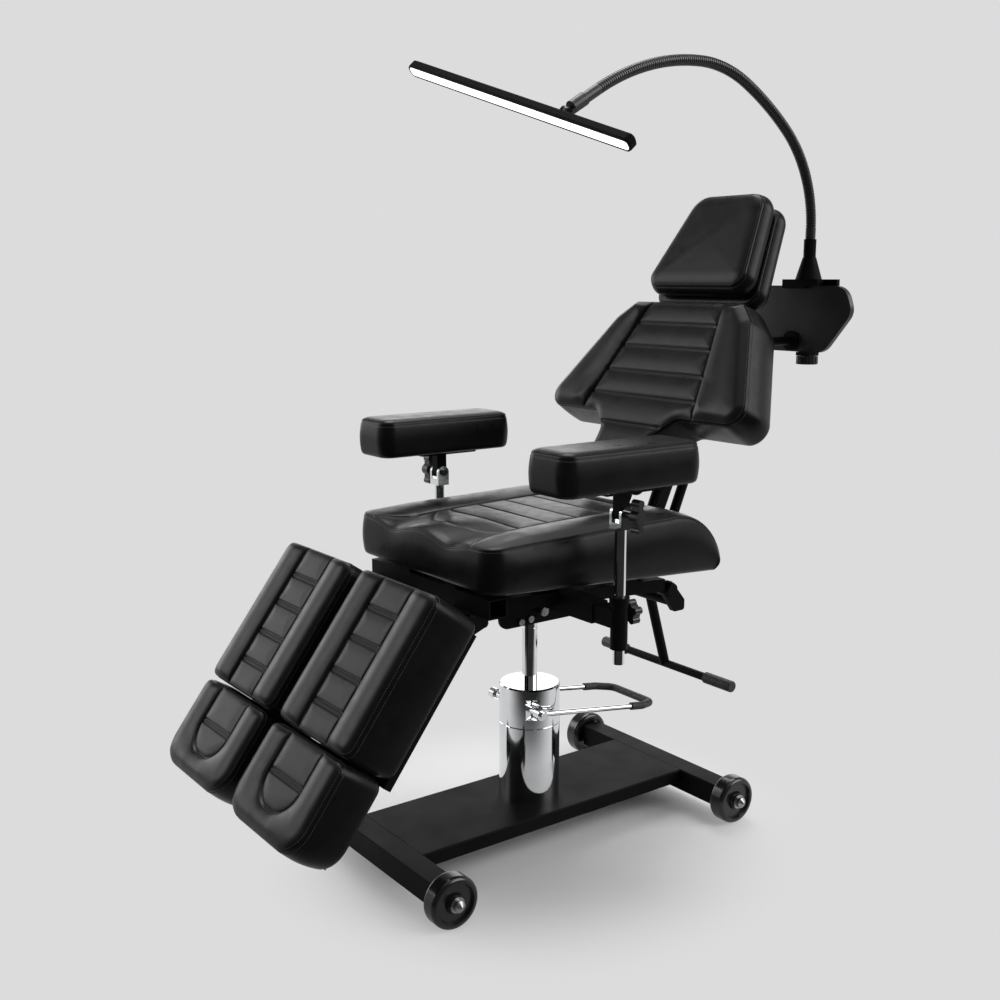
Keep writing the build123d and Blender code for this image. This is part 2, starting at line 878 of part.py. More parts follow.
def seat_section(share, crown_share, dip_share, round_share):
    """The cushion's outline square to X at one place across its width."""
    x = share * seat_half_width
    pull = seat_side_round * round_share
    lift = seat_crown * crown_share
    dip = seat_thigh_dip * dip_share
    tilt = radians(seat_tilt)
    end_bottom = seat_front_bottom - (seat_end_bottom_y - seat_front) * sin(tilt) / cos(tilt)
    front = seat_front + pull
    lift_in = pull * seat_low_pull_share
    low = seat_front_bottom + lift_in
    top = seat_front_top - dip + lift / 2
    bend = seat_front_round
    crown_start = (front + seat_dip_length, seat_front_top + lift)
    rear_bottom = (seat_end_bottom_y - pull, end_bottom + lift_in)
    rear_top = (seat_rear_top_y - pull / 2, seat_rear_top + lift)
    fall = (seat_fall_y - pull * seat_fall_pull_share, seat_fall_height + lift)
    end = (seat_end_y - pull, seat_end_height + lift_in)
    slack = bend * (1 - cos(pi / 4))
    edges = Line(rear_bottom, (front, low))
    edges += Line((front, low), (front, top - bend))
    edges += ThreePointArc((front, top - bend), (front + slack, top - slack), (front + bend, top))
    edges += Line((front + bend, top), crown_start)
    edges += Line(crown_start, rear_top)
    edges += ThreePointArc(rear_top, fall, end)
    edges += Line(end, rear_bottom)
    place = Plane(origin=(x, 0, 0), x_dir=(0, 1, 0), z_dir=(1, 0, 0))
    return place * make_face(edges)


def seat_cushion():
    rows = [(-row[0],) + row[1:] for row in reversed(seat_station_shares[1:])]
    rows += list(seat_station_shares)
    body = loft([seat_section(*row) for row in rows], ruled=True)
    body -= board_blank()
    length = seat_end_y - seat_front
    middle = (seat_front + seat_rear_top_y) / 2
    panel = seat_panel_half_width
    height = (seat_front_top + seat_rear_top) / 2 + seat_groove_radius / 2
    for share in seat_channel_shares:
        y = middle + share * length
        body -= rod_x(-panel, panel, y, height, seat_groove_radius)
    for side in (-1, 1):
        x = side * panel
        start = (x, seat_front, seat_front_top + seat_groove_radius)
        body -= rod(start, (x, seat_rear_top_y, seat_rear_top + seat_groove_radius), seat_groove_radius)
    return body - seat_notch()


def frame_bolts():
    solids = []
    outer = hub_half_width + cheek_thickness
    for side in (-1, 1):
        for y, z in (bolt_place_a, bolt_place_b):
            solids.append(rod_x(side * outer, side * (outer + bolt_height), y, z, bolt_radius))
        y, z = hub_knob_place
        profile = (
            (0, 0),
            (hub_knob_radius / 2, 0),
            (hub_knob_radius / 2, bolt_height),
            (hub_knob_radius, bolt_height),
            (hub_knob_radius, hub_knob_length),
            (0, hub_knob_length),
        )
        solids.append(spun(profile, (side * outer, y, z), (side, 0, 0), hub_knob_bevel))
    return solids


# Foot bar

def foot_bar():
    top = (0, foot_pivot_y, foot_pivot_height)
    bar = rod_x(-foot_bar_half_length, foot_bar_half_length, foot_bar_y, foot_bar_height, foot_bar_radius)
    bar += rod(top, (0, foot_bar_y, foot_bar_height), foot_strut_radius)
    half = foot_boss_half_width
    bar += rod_x(-half, half, foot_pivot_y, foot_pivot_height, foot_boss_radius)
    return bar - rod_x(-far, far, foot_pivot_y, foot_pivot_height, foot_pin_radius + fit)


def foot_bar_grip():
    outer = foot_bar_half_length + foot_grip_end
    inner = outer - foot_grip_length
    grip = rod_x(inner, outer, foot_bar_y, foot_bar_height, foot_grip_radius)
    grip = fillet(grip.edges().filter_by(GeomType.CIRCLE).group_by(Axis.X)[-1], foot_grip_end)
    return grip - rod_x(0, foot_bar_half_length, foot_bar_y, foot_bar_height, foot_bar_radius)


# Armrest on the sitter's left

def arm_tube():
    half = carrier_side / 2 - carrier_wall - slide_fit
    y0 = carrier_y - half
    z0 = carrier_height - half
    tube = cuboid(arm_tube_inner_end, arm_x, y0, y0 + 2 * half, z0, z0 + 2 * half)
    half -= arm_tube_wall
    y0 = carrier_y - half
    z0 = carrier_height - half
    inner = arm_x - sleeve_radius
    tube -= cuboid(0, inner, y0, y0 + 2 * half, z0, z0 + 2 * half)
    tube += rod((arm_x, carrier_y, sleeve_bottom), (arm_x, carrier_y, sleeve_top), sleeve_radius)
    low = sleeve_top - sleeve_collar_height
    tube += rod((arm_x, carrier_y, low), (arm_x, carrier_y, sleeve_top), sleeve_collar_radius)
    tube -= rod((arm_x, carrier_y, 0), (arm_x, carrier_y, far), post_radius + fit)
    return tube - rod((arm_x, carrier_y, star_height), (arm_x, far, star_height), star_stud_radius + fit)


def arm_post():
    x = arm_x
    y = carrier_y
    outer = clevis_gap / 2 + clevis_plate
    deep = clevis_half_depth
    post = rod((x, y, post_bottom), (x, y, clevis_bottom), post_radius)
    floor = clevis_bottom + clevis_floor
    post += cuboid(x - outer, x + outer, y - deep, y + deep, clevis_bottom, floor)
    for side in (-1, 1):
        x0 = x + side * clevis_gap / 2
        x1 = x + side * outer
        post += cuboid(x0, x1, y - deep, y + deep, clevis_bottom, tilt_height)
        post += rod_x(x0, x1, y, tilt_height, deep)
    return post - rod_x(0, far, y, tilt_height, tilt_stud_radius + fit)


def pad_bracket():
    x = arm_x
    y = carrier_y
    half = clevis_gap / 2 - soft_gap
    low = pad_bottom - bracket_top_plate
    reach = tilt_tongue_radius
    bracket = rod_x(x - half, x + half, y, tilt_height, reach)
    bracket += cuboid(x - half, x + half, y - reach, y + reach, tilt_height, low)
    wide = bracket_half_width
    long = bracket_half_length
    bracket += cuboid(x - wide, x + wide, y - long, y + long, low, pad_bottom)
    return bracket - rod_x(0, far, y, tilt_height, tilt_stud_radius + fit)


def arm_pad():
    middle_y = (pad_front + pad_rear) / 2
    half = (pad_rear - pad_front) / 2
    wide = pad_half_width
    plane = Plane(origin=(arm_x + pad_offset, middle_y, pad_bottom + pad_seam_height))
    corners = ((wide, -half), (wide, half), (-wide, half), (-wide, -half))
    rounds = [pad_round] * len(corners)
    return cushion(plane, corners, rounds, pad_seam_height, pad_crown, pad_draw)


def post_knob():
    y = carrier_y + post_radius + soft_gap
    start = carrier_y + star_start
    end = start + star_thickness
    knob = rod((arm_x, y, star_height), (arm_x, end, star_height), star_stud_radius)
    knob += rod((arm_x, start, star_height), (arm_x, end, star_height), star_radius)
    for i in range(star_lobes):
        turn = 2 * pi * i / star_lobes
        x = arm_x + star_radius * sin(turn)
        z = star_height + star_radius * cos(turn)
        knob += rod((x, start, z), (x, end, z), star_lobe_radius)
    return knob


def tilt_knob():
    y = carrier_y
    z = tilt_height
    half = clevis_gap / 2 + clevis_plate
    head = arm_x - half - soft_gap
    start = arm_x + wing_start
    end = start + wing_thickness
    knob = rod_x(head - bolt_height, head, y, z, bolt_radius)
    knob += rod_x(head, end, y, z, tilt_stud_radius)
    knob += rod_x(start, end, y, z, wing_hub_radius)
    knob += rod_x(arm_x + half + soft_gap, start, y, z, bolt_radius)
    for side in (-1, 1):
        tip = z + side * (wing_half_length - wing_tip_radius)
        knob += rod_x(start, end, y, tip, wing_tip_radius)
        half_leaf = wing_leaf_width / 2
        knob += cuboid(start, end, y - half_leaf, y + half_leaf, z, tip)
    return knob


# Backrest

def behind_back(solid, depth):
    """The solid cut off in front of one depth behind the back's seam plane."""
    return solid - back_plane * cuboid(-far, far, -far, far, -depth, far)


def back_cushion():
    corners = both_halves(back_half_outline)
    rounds = both_rounds(back_rounds)
    body = cushion(back_plane, corners, rounds, back_depth, back_crown, cushion_draw)
    foot = back_half_outline[0][1] - overrun
    wedge = (
        (tongue_taper_top, -back_depth),
        (foot, -tongue_depth),
        (foot, -back_depth - overrun),
        (tongue_taper_top, -back_depth - overrun),
    )
    place = Plane(origin=(-far, 0, 0), x_dir=(0, 1, 0), z_dir=(1, 0, 0))
    body -= back_plane * extrude(place * make_face(Polyline(*wedge, close=True)), 2 * far)
    top, low = back_panel_seam
    height = back_crown + back_groove_radius / 2
    for side in (-1, 1):
        start = (side * top[0], top[1])
        body -= groove(back_plane, start, (side * low[0], low[1]), height, back_groove_radius)
    for s in back_channels:
        share = (top[1] - s) / (top[1] - low[1])
        half = top[0] + share * (low[0] - top[0])
        half = min(half, seat_notch_half_width) if s < low[1] else half
        body -= groove(back_plane, (-half, s), (half, s), height, back_groove_radius)
    return body


def back_bar(side):
    """One flat bar from the pivot shaft up to the plate behind the cushion."""
    angle = radians(back_bar_angle)
    foot_y = pivot_y - back_bar_offset
    half = back_bar_thickness / 2
    x0 = side * back_bar_x - half
    x1 = side * back_bar_x + half
    foot = (side * back_bar_x, foot_y, pivot_height)
    place = Plane(origin=foot, x_dir=(1, 0, 0), z_dir=(0, cos(angle), sin(angle)))
    bar = place * Box(
        back_bar_thickness, back_bar_depth, back_bar_length, align=(Align.CENTER, Align.CENTER, Align.MIN)
    )
    bar = behind_back(bar, back_depth + back_plate_thickness)
    deep = back_bar_depth / 2
    bar += cuboid(x0, x1, foot_y - deep, pivot_y, pivot_height - deep, pivot_height + deep)
    bar += rod_x(x0, x1, pivot_y, pivot_height, deep)
    rear = -back_depth - back_plate_thickness
    spacer = cuboid(x0, x1, back_spacer_bottom, back_spacer_top, rear - back_spacer_reach, rear)
    return bar + back_plane * spacer


def back_frame():
    rear = -back_depth - back_plate_thickness
    wide = back_plate_half_width
    plate = cuboid(-wide, wide, back_plate_bottom, back_plate_top, rear, -back_depth)
    frame = back_plane * fillet(plate.edges().filter_by(Axis.Z), back_rounds[0])
    frame += back_bar(-1)
    frame += back_bar(1)
    half = rail_outer + soft_gap
    frame += rod_x(-half, half, pivot_y, pivot_height, pivot_shaft_radius)
    rise = strut_high_height - pivot_height
    tie_y = pivot_y - back_bar_offset + rise * cos(radians(back_bar_angle)) / sin(radians(back_bar_angle))
    tie = (tie_y, strut_high_height)
    frame += rod_x(-back_bar_x, back_bar_x, *tie, tie_radius)
    gap = strut_eye_width / 2 + strut_cheek_gap + strut_cheek / 2
    lug_end = (strut_high_y, strut_high_height)
    for side in (-1, 1):
        cap = side * (half + pivot_head_thickness)
        frame += rod_x(side * half, cap, pivot_y, pivot_height, pivot_head_radius)
        for way in (-1, 1):
            x = side * strut_x + way * gap
            frame += lug(x, strut_cheek, tie, lug_end, strut_lug_height / 2)
        x = side * strut_x
        pin = gap + strut_cheek / 2
        frame += rod_x(x - pin, x + pin, *lug_end, strut_pin_radius)
        x = side * guide_x
        guide = rod((x, guide_bottom, -guide_depth), (x, guide_top, -guide_depth), guide_radius)
        frame += back_plane * guide
        block = cuboid(x - guide_radius, x + guide_radius, guide_bottom, guide_top, -guide_depth, rear)
        frame += back_plane * block
        frame += panel_arm(side)
    for side in (-1, 1):
        x = side * guide_x
        bore = rod((x, 0, -guide_depth), (x, far, -guide_depth), head_rod_radius + fit)
        frame -= back_plane * bore
    return frame


def panel_arm(side):
    x = side * panel_arm_x
    start = (x, panel_arm_start, panel_arm_height)
    end = (x, panel_front, panel_arm_height)
    arm = rod(start, end, panel_arm_radius)
    flange = (x, panel_front - panel_flange_thickness, panel_arm_height)
    arm += rod(flange, end, panel_flange_radius)
    foot = back_plane.to_local_coords(Vector(*start))
    rear = -back_depth - back_plate_thickness
    reach = panel_arm_radius
    low = foot.Y - reach
    block = cuboid(x - reach, x + reach, low, back_plate_top, foot.Z - reach, rear)
    return arm + back_plane * block


def strut_line():
    low = Vector(0, strut_low_y, strut_low_height)
    high = Vector(0, strut_high_y, strut_high_height)
    return high, (low - high).normalized(), (low - high).length


def strut_rod_hole(x, start, end, radius):
    """A round bar on the strut's line between two distances from its upper eye."""
    high, along, _ = strut_line()
    shift = Vector(x, 0, 0)
    a = high + along * start + shift
    b = high + along * end + shift
    return rod((a.X, a.Y, a.Z), (b.X, b.Y, b.Z), radius)


def gas_cylinder(x):
    barrel = strut_rod_hole(x, strut_barrel_start, strut_barrel_end, strut_barrel_radius)
    barrel += strut_rod_hole(x, 0, strut_barrel_start, strut_rod_radius)
    half = strut_eye_width / 2
    barrel += rod_x(x - half, x + half, strut_high_y, strut_high_height, strut_eye_radius)
    barrel -= rod_x(x - far, x + far, strut_high_y, strut_high_height, strut_pin_radius + fit)
    inside = strut_barrel_start + strut_rod_radius
    return barrel - strut_rod_hole(x, inside, strut_barrel_end + overrun, strut_rod_radius + fit)


def gas_rod(x):
    _, _, length = strut_line()
    stem = strut_rod_hole(x, strut_rod_start, length, strut_rod_radius)
    half = strut_eye_width / 2
    return stem + rod_x(x - half, x + half, strut_low_y, strut_low_height, strut_eye_radius)


# Headrest

head_pivot = head_plane.from_local_coords(Vector(0, head_pivot_up, -head_pivot_back))


def head_slide():
    spot = back_plane.to_local_coords(head_pivot)
    half = head_yoke_height / 2
    front = -guide_depth + head_yoke_thickness / 2
    wide = head_yoke_half_width
    yoke = cuboid(-wide, wide, spot.Y - half, spot.Y + half, front - head_yoke_thickness, front)
    narrow = head_barrel_half_width
    reach = head_barrel_radius
    yoke += cuboid(-narrow, narrow, spot.Y - reach, spot.Y + reach, front, spot.Z)
    for side in (-1, 1):
        x = side * guide_x
        yoke += rod((x, head_rod_bottom, -guide_depth), (x, spot.Y, -guide_depth), head_rod_radius)
    slide = back_plane * yoke
    slide += rod_x(-narrow, narrow, head_pivot.Y, head_pivot.Z, reach)
    pin = head_pin_half_length
    return slide + rod_x(-pin, pin, head_pivot.Y, head_pivot.Z, head_pin_radius)


def head_hinge():
    wide = head_plate_half_width
    half = head_plate_half_height
    back = -2 * head_layer
    low = head_pivot_up - half
    plate = cuboid(-wide, wide, low, low + 2 * half, back - head_plate_thickness, back)
    reach = head_barrel_radius
    for side in (-1, 1):
        x0 = side * head_ear_inner
        x1 = side * head_ear_outer
        plate += rod((x0, head_pivot_up, -head_pivot_back), (x1, head_pivot_up, -head_pivot_back), reach)
        plate += cuboid(x0, x1, head_pivot_up - reach, head_pivot_up + reach, -head_pivot_back, back)
    hinge = head_plane * plate
    return hinge - rod_x(-far, far, head_pivot.Y, head_pivot.Z, head_pin_radius + fit)


def head_cushion():
    corners = both_halves(head_cushion_half_outline)
    rounds = both_rounds(head_cushion_rounds)
    plane = head_plane.offset(-head_layer - head_crown / 2)
    depth = head_layer - head_crown / 2
    return cushion(plane, corners, rounds, depth, head_crown / 2, cushion_draw / 2)


def head_pillow():
    corners = both_halves(pillow_half_outline)
    rounds = both_rounds(pillow_rounds)
    return cushion(head_plane, corners, rounds, head_layer, head_crown, cushion_draw)


# Rear panel

def rear_panel():
    corners = both_halves(panel_half_outline)
    outline = make_face(FilletPolyline(*corners, radius=both_rounds(panel_rounds), close=True))
    place = Plane(origin=(0, panel_front + panel_thickness, 0), x_dir=(1, 0, 0), z_dir=(0, -1, 0))
    panel = extrude(place * outline, panel_thickness)
    rims = panel.faces().sort_by(Axis.Y)
    return fillet(rims[-1].edges(), panel_edge_round)


# Lamp

def clamp_y():
    return panel_front + panel_thickness / 2


def panel_bottom():
    return panel_half_outline[0][1]


def panel_top():
    return panel_half_outline[-1][1]


def lamp_clamp():
    front = panel_front - clamp_lip
    rear = panel_front + panel_thickness + clamp_lip
    top = panel_top() + clamp_plate
    x = lamp_x
    clamp = cuboid(x - clamp_half_width, x + clamp_half_width, front, rear, panel_top(), top)
    low = panel_top() - clamp_ear_drop
    clamp += cuboid(x - clamp_ear_length, x, front, panel_front, low, top)
    clamp += cuboid(x, x + clamp_ear_length, panel_front + panel_thickness, rear, low, top)
    jaw = panel_bottom() - clamp_jaw_thickness
    half = clamp_spine_half_width
    clamp += cuboid(x - half, x + half, panel_front + panel_thickness, rear, jaw, top)
    half = clamp_jaw_half_width
    clamp += cuboid(x - half, x + half, front, rear, jaw, panel_bottom())
    profile = (
        (0, top),
        (clamp_cone_radius, top),
        (clamp_cone_top_radius, top + clamp_cone_height),
        (0, top + clamp_cone_height),
    )
    clamp += spun(profile, (x, lamp_y, 0), (0, 0, 1))
    cone_top = top + clamp_cone_height
    spigot = (x, lamp_y, cone_top - post_spigot_length - lamp_post_gap)
    clamp -= rod(spigot, (x, lamp_y, far + cone_top), post_spigot_radius + fit)
    screw = (x, clamp_y(), jaw - overrun)
    return clamp - rod(screw, (x, clamp_y(), panel_bottom()), screw_radius + fit)


def clamp_screw():
    x = lamp_x
    y = clamp_y()
    top = panel_bottom() - clamp_jaw_thickness - screw_knob_gap
    knob = rod((x, y, top - screw_knob_height), (x, y, top), screw_knob_radius)
    knob = chamfer(knob.edges().filter_by(GeomType.CIRCLE), screw_knob_edge)
    for i in range(screw_flutes):
        turn = 2 * pi * (i + 1 / 2) / screw_flutes
        fx = x + screw_knob_radius * sin(turn)
        fy = y + screw_knob_radius * cos(turn)
        knob -= rod((fx, fy, top - 2 * screw_knob_height), (fx, fy, top + overrun), screw_flute_radius)
    return knob + rod((x, y, top - screw_knob_height / 2), (x, y, panel_bottom() - soft_gap), screw_radius)


def lamp_post():
    x = lamp_x
    y = lamp_y
    cone_top = panel_top() + clamp_plate + clamp_cone_height
    post = rod((x, y, cone_top + lamp_post_gap), (x, y, lamp_post_top), lamp_post_radius)
    return post + rod((x, y, cone_top - post_spigot_length), (x, y, lamp_post_top), post_spigot_radius)


def neck_place(distance):
    """The gooseneck's centre and heading at a distance along it, in the plane X = lamp_x."""
    y = lamp_y
    z = lamp_post_top
    heading = pi / 2
    left = distance
    step = min(left, neck_start)
    z += step
    left -= step
    for radius, turn in zip(neck_bend_radii, neck_bend_turns):
        angle = min(max(left, 0) / radius, radians(turn))
        y += radius * (cos(heading + angle - pi / 2) - cos(heading - pi / 2))
        z += radius * (sin(heading + angle - pi / 2) - sin(heading - pi / 2))
        heading += angle
        left -= radius * radians(turn)
    y += max(left, 0) * cos(heading)
    z += max(left, 0) * sin(heading)
    return y, z, heading


def neck_length():
    bends = sum(radius * radians(turn) for radius, turn in zip(neck_bend_radii, neck_bend_turns))
    return neck_start + bends + neck_end


def neck_ring(distance, radius):
    y, z, heading = neck_place(distance)
    place = Plane(origin=(lamp_x, y, z), x_dir=(1, 0, 0), z_dir=(0, cos(heading), sin(heading)))
    return place * Circle(radius)


def gooseneck_hose():
    """The ribbed hose: four rings to each rib, and a bore for the lead inside."""
    length = neck_length()
    ribbed = length - neck_start - neck_end
    pitch = ribbed / neck_ribs
    low = neck_radius - neck_groove_depth
    rings = [neck_ring(0, neck_radius)]
    for i in range(neck_ribs):
        start = neck_start + i * pitch
        rings.append(neck_ring(start, neck_radius))
        rings.append(neck_ring(start + pitch * rib_end_share, neck_radius))
        rings += [neck_ring(start + pitch * share, low) for share in rib_groove_shares]
    rings.append(neck_ring(length - neck_end, neck_radius))
    rings.append(neck_ring(length, neck_radius))
    hose = loft(rings, ruled=True)
    steps = neck_bore_steps
    bore = [neck_ring(0, neck_bore)]
    bore += [neck_ring(neck_start + ribbed * i / steps, neck_bore) for i in range(steps + 1)]
    bore += [neck_ring(length, neck_bore)]
    return hose - loft(bore, ruled=True)


def neck_tip():
    """The hose's far end and the way it points."""
    y, z, heading = neck_place(neck_length())
    return Vector(lamp_x, y, z), Vector(0, cos(heading), sin(heading))


def light_joint():
    """The pin between the gooseneck's collar and the light bar."""
    tip, along = neck_tip()
    return tip + along * (collar_length - collar_overlap + bar_to_collar)


def light_plane():
    """The light bar's plane: X along the bar, Z out of its upper side, origin at its middle."""
    along = Vector(*bar_direction_shares).normalized()
    level = (Vector(0, 0, 1) - along * along.Z).normalized()
    roll = radians(light_roll)
    up = level * cos(roll) + along.cross(level) * sin(roll)
    middle = light_joint() - up * light_joint_rise + along * (light_length / 2 - bar_end_to_joint)
    return Plane(origin=middle, x_dir=along, z_dir=up)


def neck_fitting():
    tip, along = neck_tip()
    start = tip - along * collar_overlap
    end = start + along * collar_length
    fitting = rod((start.X, start.Y, start.Z), (end.X, end.Y, end.Z), collar_radius)
    bore_end = tip + along * fit
    fitting -= rod((start.X, start.Y, start.Z), (bore_end.X, bore_end.Y, bore_end.Z), neck_radius)
    joint = light_joint()
    fitting += rod((end.X, end.Y, end.Z), (joint.X, joint.Y, joint.Z), tongue_disc_width / 2)
    side = Vector(*bar_direction_shares).normalized() * (tongue_disc_width / 2)
    a = joint - side
    b = joint + side
    fitting += rod((a.X, a.Y, a.Z), (b.X, b.Y, b.Z), tongue_disc_radius)
    a = joint - side * 2
    b = joint + side * 2
    return fitting - rod((a.X, a.Y, a.Z), (b.X, b.Y, b.Z), light_pin_radius + fit)


def light_outline(length, width, rounding):
    corners = ((length / 2, -width / 2), (length / 2, width / 2))
    corners += ((-length / 2, width / 2), (-length / 2, -width / 2))
    return list(corners), [rounding] * len(corners)


def lamp_housing():
    corners, rounds = light_outline(light_length, light_width, light_round)
    half = light_thickness / 2
    layers = ((-half, light_lower_edge), (-half + light_edge, 0), (half - light_edge, 0), (half, light_edge))
    rings = []
    for height, amount in layers:
        points, radii = drawn_in(corners, rounds, amount)
        rings.append(Pos(0, 0, height) * make_face(FilletPolyline(*points, radius=radii, close=True)))
    body = loft(rings, ruled=True)
    body -= diffuser_blank(fit)
    joint_x = bar_end_to_joint - light_length / 2
    near = tongue_disc_width / 2 + soft_gap
    for side in (-1, 1):
        x0 = joint_x + side * near
        x1 = joint_x + side * (near + light_lug_thickness)
        body += rod((x0, 0, light_joint_rise), (x1, 0, light_joint_rise), light_lug_radius)
        body += cuboid(x0, x1, -light_lug_radius, light_lug_radius, 0, light_joint_rise)
    reach = near + light_lug_thickness
    rise = light_joint_rise
    body += rod((joint_x - reach, 0, rise), (joint_x + reach, 0, rise), light_pin_radius)
    return light_plane() * body


def diffuser_blank(gap):
    corners, rounds = light_outline(light_length, light_width, light_round)
    points, radii = drawn_in(corners, rounds, diffuser_margin - gap)
    face = make_face(FilletPolyline(*points, radius=radii, close=True))
    return Pos(0, 0, -light_thickness / 2 - fit) * extrude(face, diffuser_depth + gap)


def lamp_diffuser():
    return light_plane() * diffuser_blank(0)


# Leg on the sitter's left

def leg_corners(start, end):
    wide = leg_half_width
    return [(wide, -end), (wide, -start), (-wide, -start), (-wide, -end)]


def calf_cushion():
    corners = leg_corners(calf_start, calf_end)
    rounds = [calf_bottom_round, calf_top_round, calf_top_round, calf_bottom_round]
    body = cushion(leg_plane, corners, rounds, calf_depth, leg_crown, cushion_draw)
    height = leg_crown + leg_groove_radius / 2
    wide = calf_panel_half_width
    for side in (-1, 1):
        x = side * wide
        body -= groove(leg_plane, (x, -calf_start), (x, -calf_end), height, leg_groove_radius)
    for s in calf_grooves:
        body -= groove(leg_plane, (-wide, -s), (wide, -s), height, leg_groove_radius)
    return body


def foot_cushion():
    corners = leg_corners(foot_start, foot_end)
    rounds = [foot_bottom_round, foot_top_round, foot_top_round, foot_bottom_round]
    body = cushion(leg_plane, corners, rounds, foot_depth, leg_crown, cushion_draw)
    height = leg_crown + leg_groove_radius / 2
    wide = foot_panel_half_width
    low = -foot_start - foot_panel_length
    points = ((wide, -foot_start), (wide, low), (-wide, low), (-wide, -foot_start))
    path = Pos(0, 0, height) * FilletPolyline(*points, radius=foot_panel_bend)
    section = Plane(origin=path @ 0, z_dir=path % 0) * Circle(leg_groove_radius)
    body -= leg_plane * sweep(section, path=path)
    y = -foot_start - foot_groove
    return body - groove(leg_plane, (-wide, y), (wide, y), height, leg_groove_radius)


def leg_frame():
    rear = -calf_depth - leg_plate_thickness
    wide = leg_plate_half_width
    frame = cuboid(-wide, wide, -leg_plate_end, -leg_plate_start, rear, -calf_depth)
    for side in (-1, 1):
        edge = side * wide
        inner = side * (wide - leg_flange_thickness)
        deep = -calf_depth - leg_flange_depth
        frame += cuboid(inner, edge, -leg_plate_end, -leg_plate_start, deep, -calf_depth)
        x = side * slide_x
        half = slide_outer / 2
        frame += cuboid(x - half, x + half, -slide_end, -slide_start, rear - slide_outer, rear)
        half = slide_bore / 2
        middle = rear - slide_outer / 2
        frame -= cuboid(x - half, x + half, -far, 0, middle - half, middle + half)
    pivot = leg_plane.to_local_coords(Vector(leg_x, leg_pivot_y, leg_pivot_height))
    reach = knuckle_radius
    along = reach * leg_arm_along_share
    low = pivot.Z - reach * leg_arm_back_share
    corners = (
        (pivot.Y + along, low),
        (pivot.Y + along, pivot.Z + reach * leg_arm_front_share),
        (-leg_arm_start, rear),
        (-leg_arm_foot, rear),
        (pivot.Y - along, low),
    )
    inner = rail_knuckle_outer + soft_gap
    spans = (
        (-inner - leg_arm_width, -inner),
        (-rail_knuckle_inner + soft_gap, rail_knuckle_inner - soft_gap),
        (inner, inner + leg_arm_width),
    )
    for x0, x1 in spans:
        place = Plane(origin=(x0, 0, 0), x_dir=(0, 1, 0), z_dir=(1, 0, 0))
        arm = extrude(place * make_face(Polyline(*corners, close=True)), x1 - x0)
        arm += rod((x0, pivot.Y, pivot.Z), (x1, pivot.Y, pivot.Z), reach)
        frame += arm
    frame -= rod((-far, pivot.Y, pivot.Z), (far, pivot.Y, pivot.Z), leg_pin_radius + fit)
    return leg_plane * frame


def foot_slide():
    front = -foot_depth
    rear = front - slide_plate_thickness
    wide = slide_plate_half_width
    slide = cuboid(-wide, wide, -slide_plate_end, -slide_plate_start, rear, front)
    middle = -calf_depth - leg_plate_thickness - slide_outer / 2
    half = slide_bore / 2 - slide_fit
    for side in (-1, 1):
        x = side * slide_x
        slide += cuboid(x - half, x + half, -slide_bar_end, -slide_bar_start, middle - half, middle + half)
        slide += cuboid(x - half, x + half, -slide_block_end, -slide_block_start, middle, rear)
    return leg_plane * slide


def save(name, piece):
    """Write one node, a single piece or a group of separate solids."""
    solids = piece if isinstance(piece, list) else [piece]
    solids = [solid for item in solids for solid in item.solids()]
    shape = Compound(children=solids) if len(solids) > 1 else solids[0]
    shape.label = name
    export_step(shape, f"parts/{name}.step")


single_pieces = {
    "base_deck": base_deck(),
    "front_crossbar": crossbar(-1),
    "rear_crossbar": crossbar(1),
    "axle_bolts": [axle_bolt(x, y) for x in (-1, 1) for y in (-1, 1)],
    "wheel_front_left": wheel(1, -1),
    "wheel_front_right": wheel(-1, -1),
    "wheel_rear_left": wheel(1, 1),
    "wheel_rear_right": wheel(-1, 1),
    "pump_cylinder": pump_cylinder(),
    "pump_head": pump_head(),
    "pedal_loop": pedal_loop(),
    "pedal_grip": pedal_grip(),
    "piston_rod": piston_rod(),
    "swivel_bearing": swivel_bearing(),
    "seat_hub": seat_hub(),
    "cross_tube": cross_tube(),
    "leg_hinge_rail": leg_hinge_rail(),
    "rear_rail": rear_rail(),
    "seat_board": seat_board(),
    "seat_cushion": seat_cushion(),
    "frame_bolts": frame_bolts(),
    "foot_bar": foot_bar(),
    "foot_bar_grips": [foot_bar_grip(), mirrored(foot_bar_grip())],
    "back_frame": back_frame(),
    "back_cushion": back_cushion(),
    "gas_cylinders": [gas_cylinder(-strut_x), gas_cylinder(strut_x)],
    "gas_rods": [gas_rod(-strut_x), gas_rod(strut_x)],
    "head_slide": head_slide(),
    "head_hinge": head_hinge(),
    "head_cushion": head_cushion(),
    "head_pillow": head_pillow(),
    "rear_panel": rear_panel(),
    "lamp_clamp": lamp_clamp(),
    "clamp_screw": clamp_screw(),
    "lamp_post": lamp_post(),
    "gooseneck": [gooseneck_hose(), neck_fitting()],
    "lamp_housing": lamp_housing(),
    "lamp_diffuser": lamp_diffuser(),
}
paired_pieces = {
    "side_rail": side_rail(),
    "arm_tube": arm_tube(),
    "arm_post": arm_post(),
    "pad_bracket": pad_bracket(),
    "arm_pad": arm_pad(),
    "post_knob": post_knob(),
    "tilt_knob": tilt_knob(),
    "leg_frame": leg_frame(),
    "calf_cushion": calf_cushion(),
    "foot_slide": foot_slide(),
    "foot_cushion": foot_cushion(),
}
for name, piece in single_pieces.items():
    save(name, piece)
for name, piece in paired_pieces.items():
    solids = piece if isinstance(piece, list) else [piece]
    save("left_" + name, solids)
    save("right_" + name, [mirrored(solid) for solid in solids])
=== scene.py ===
import json
from math import cos, pi, radians, sin, tan

import bpy
import numpy as np
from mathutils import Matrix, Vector
from mathutils.geometry import delaunay_2d_cdt


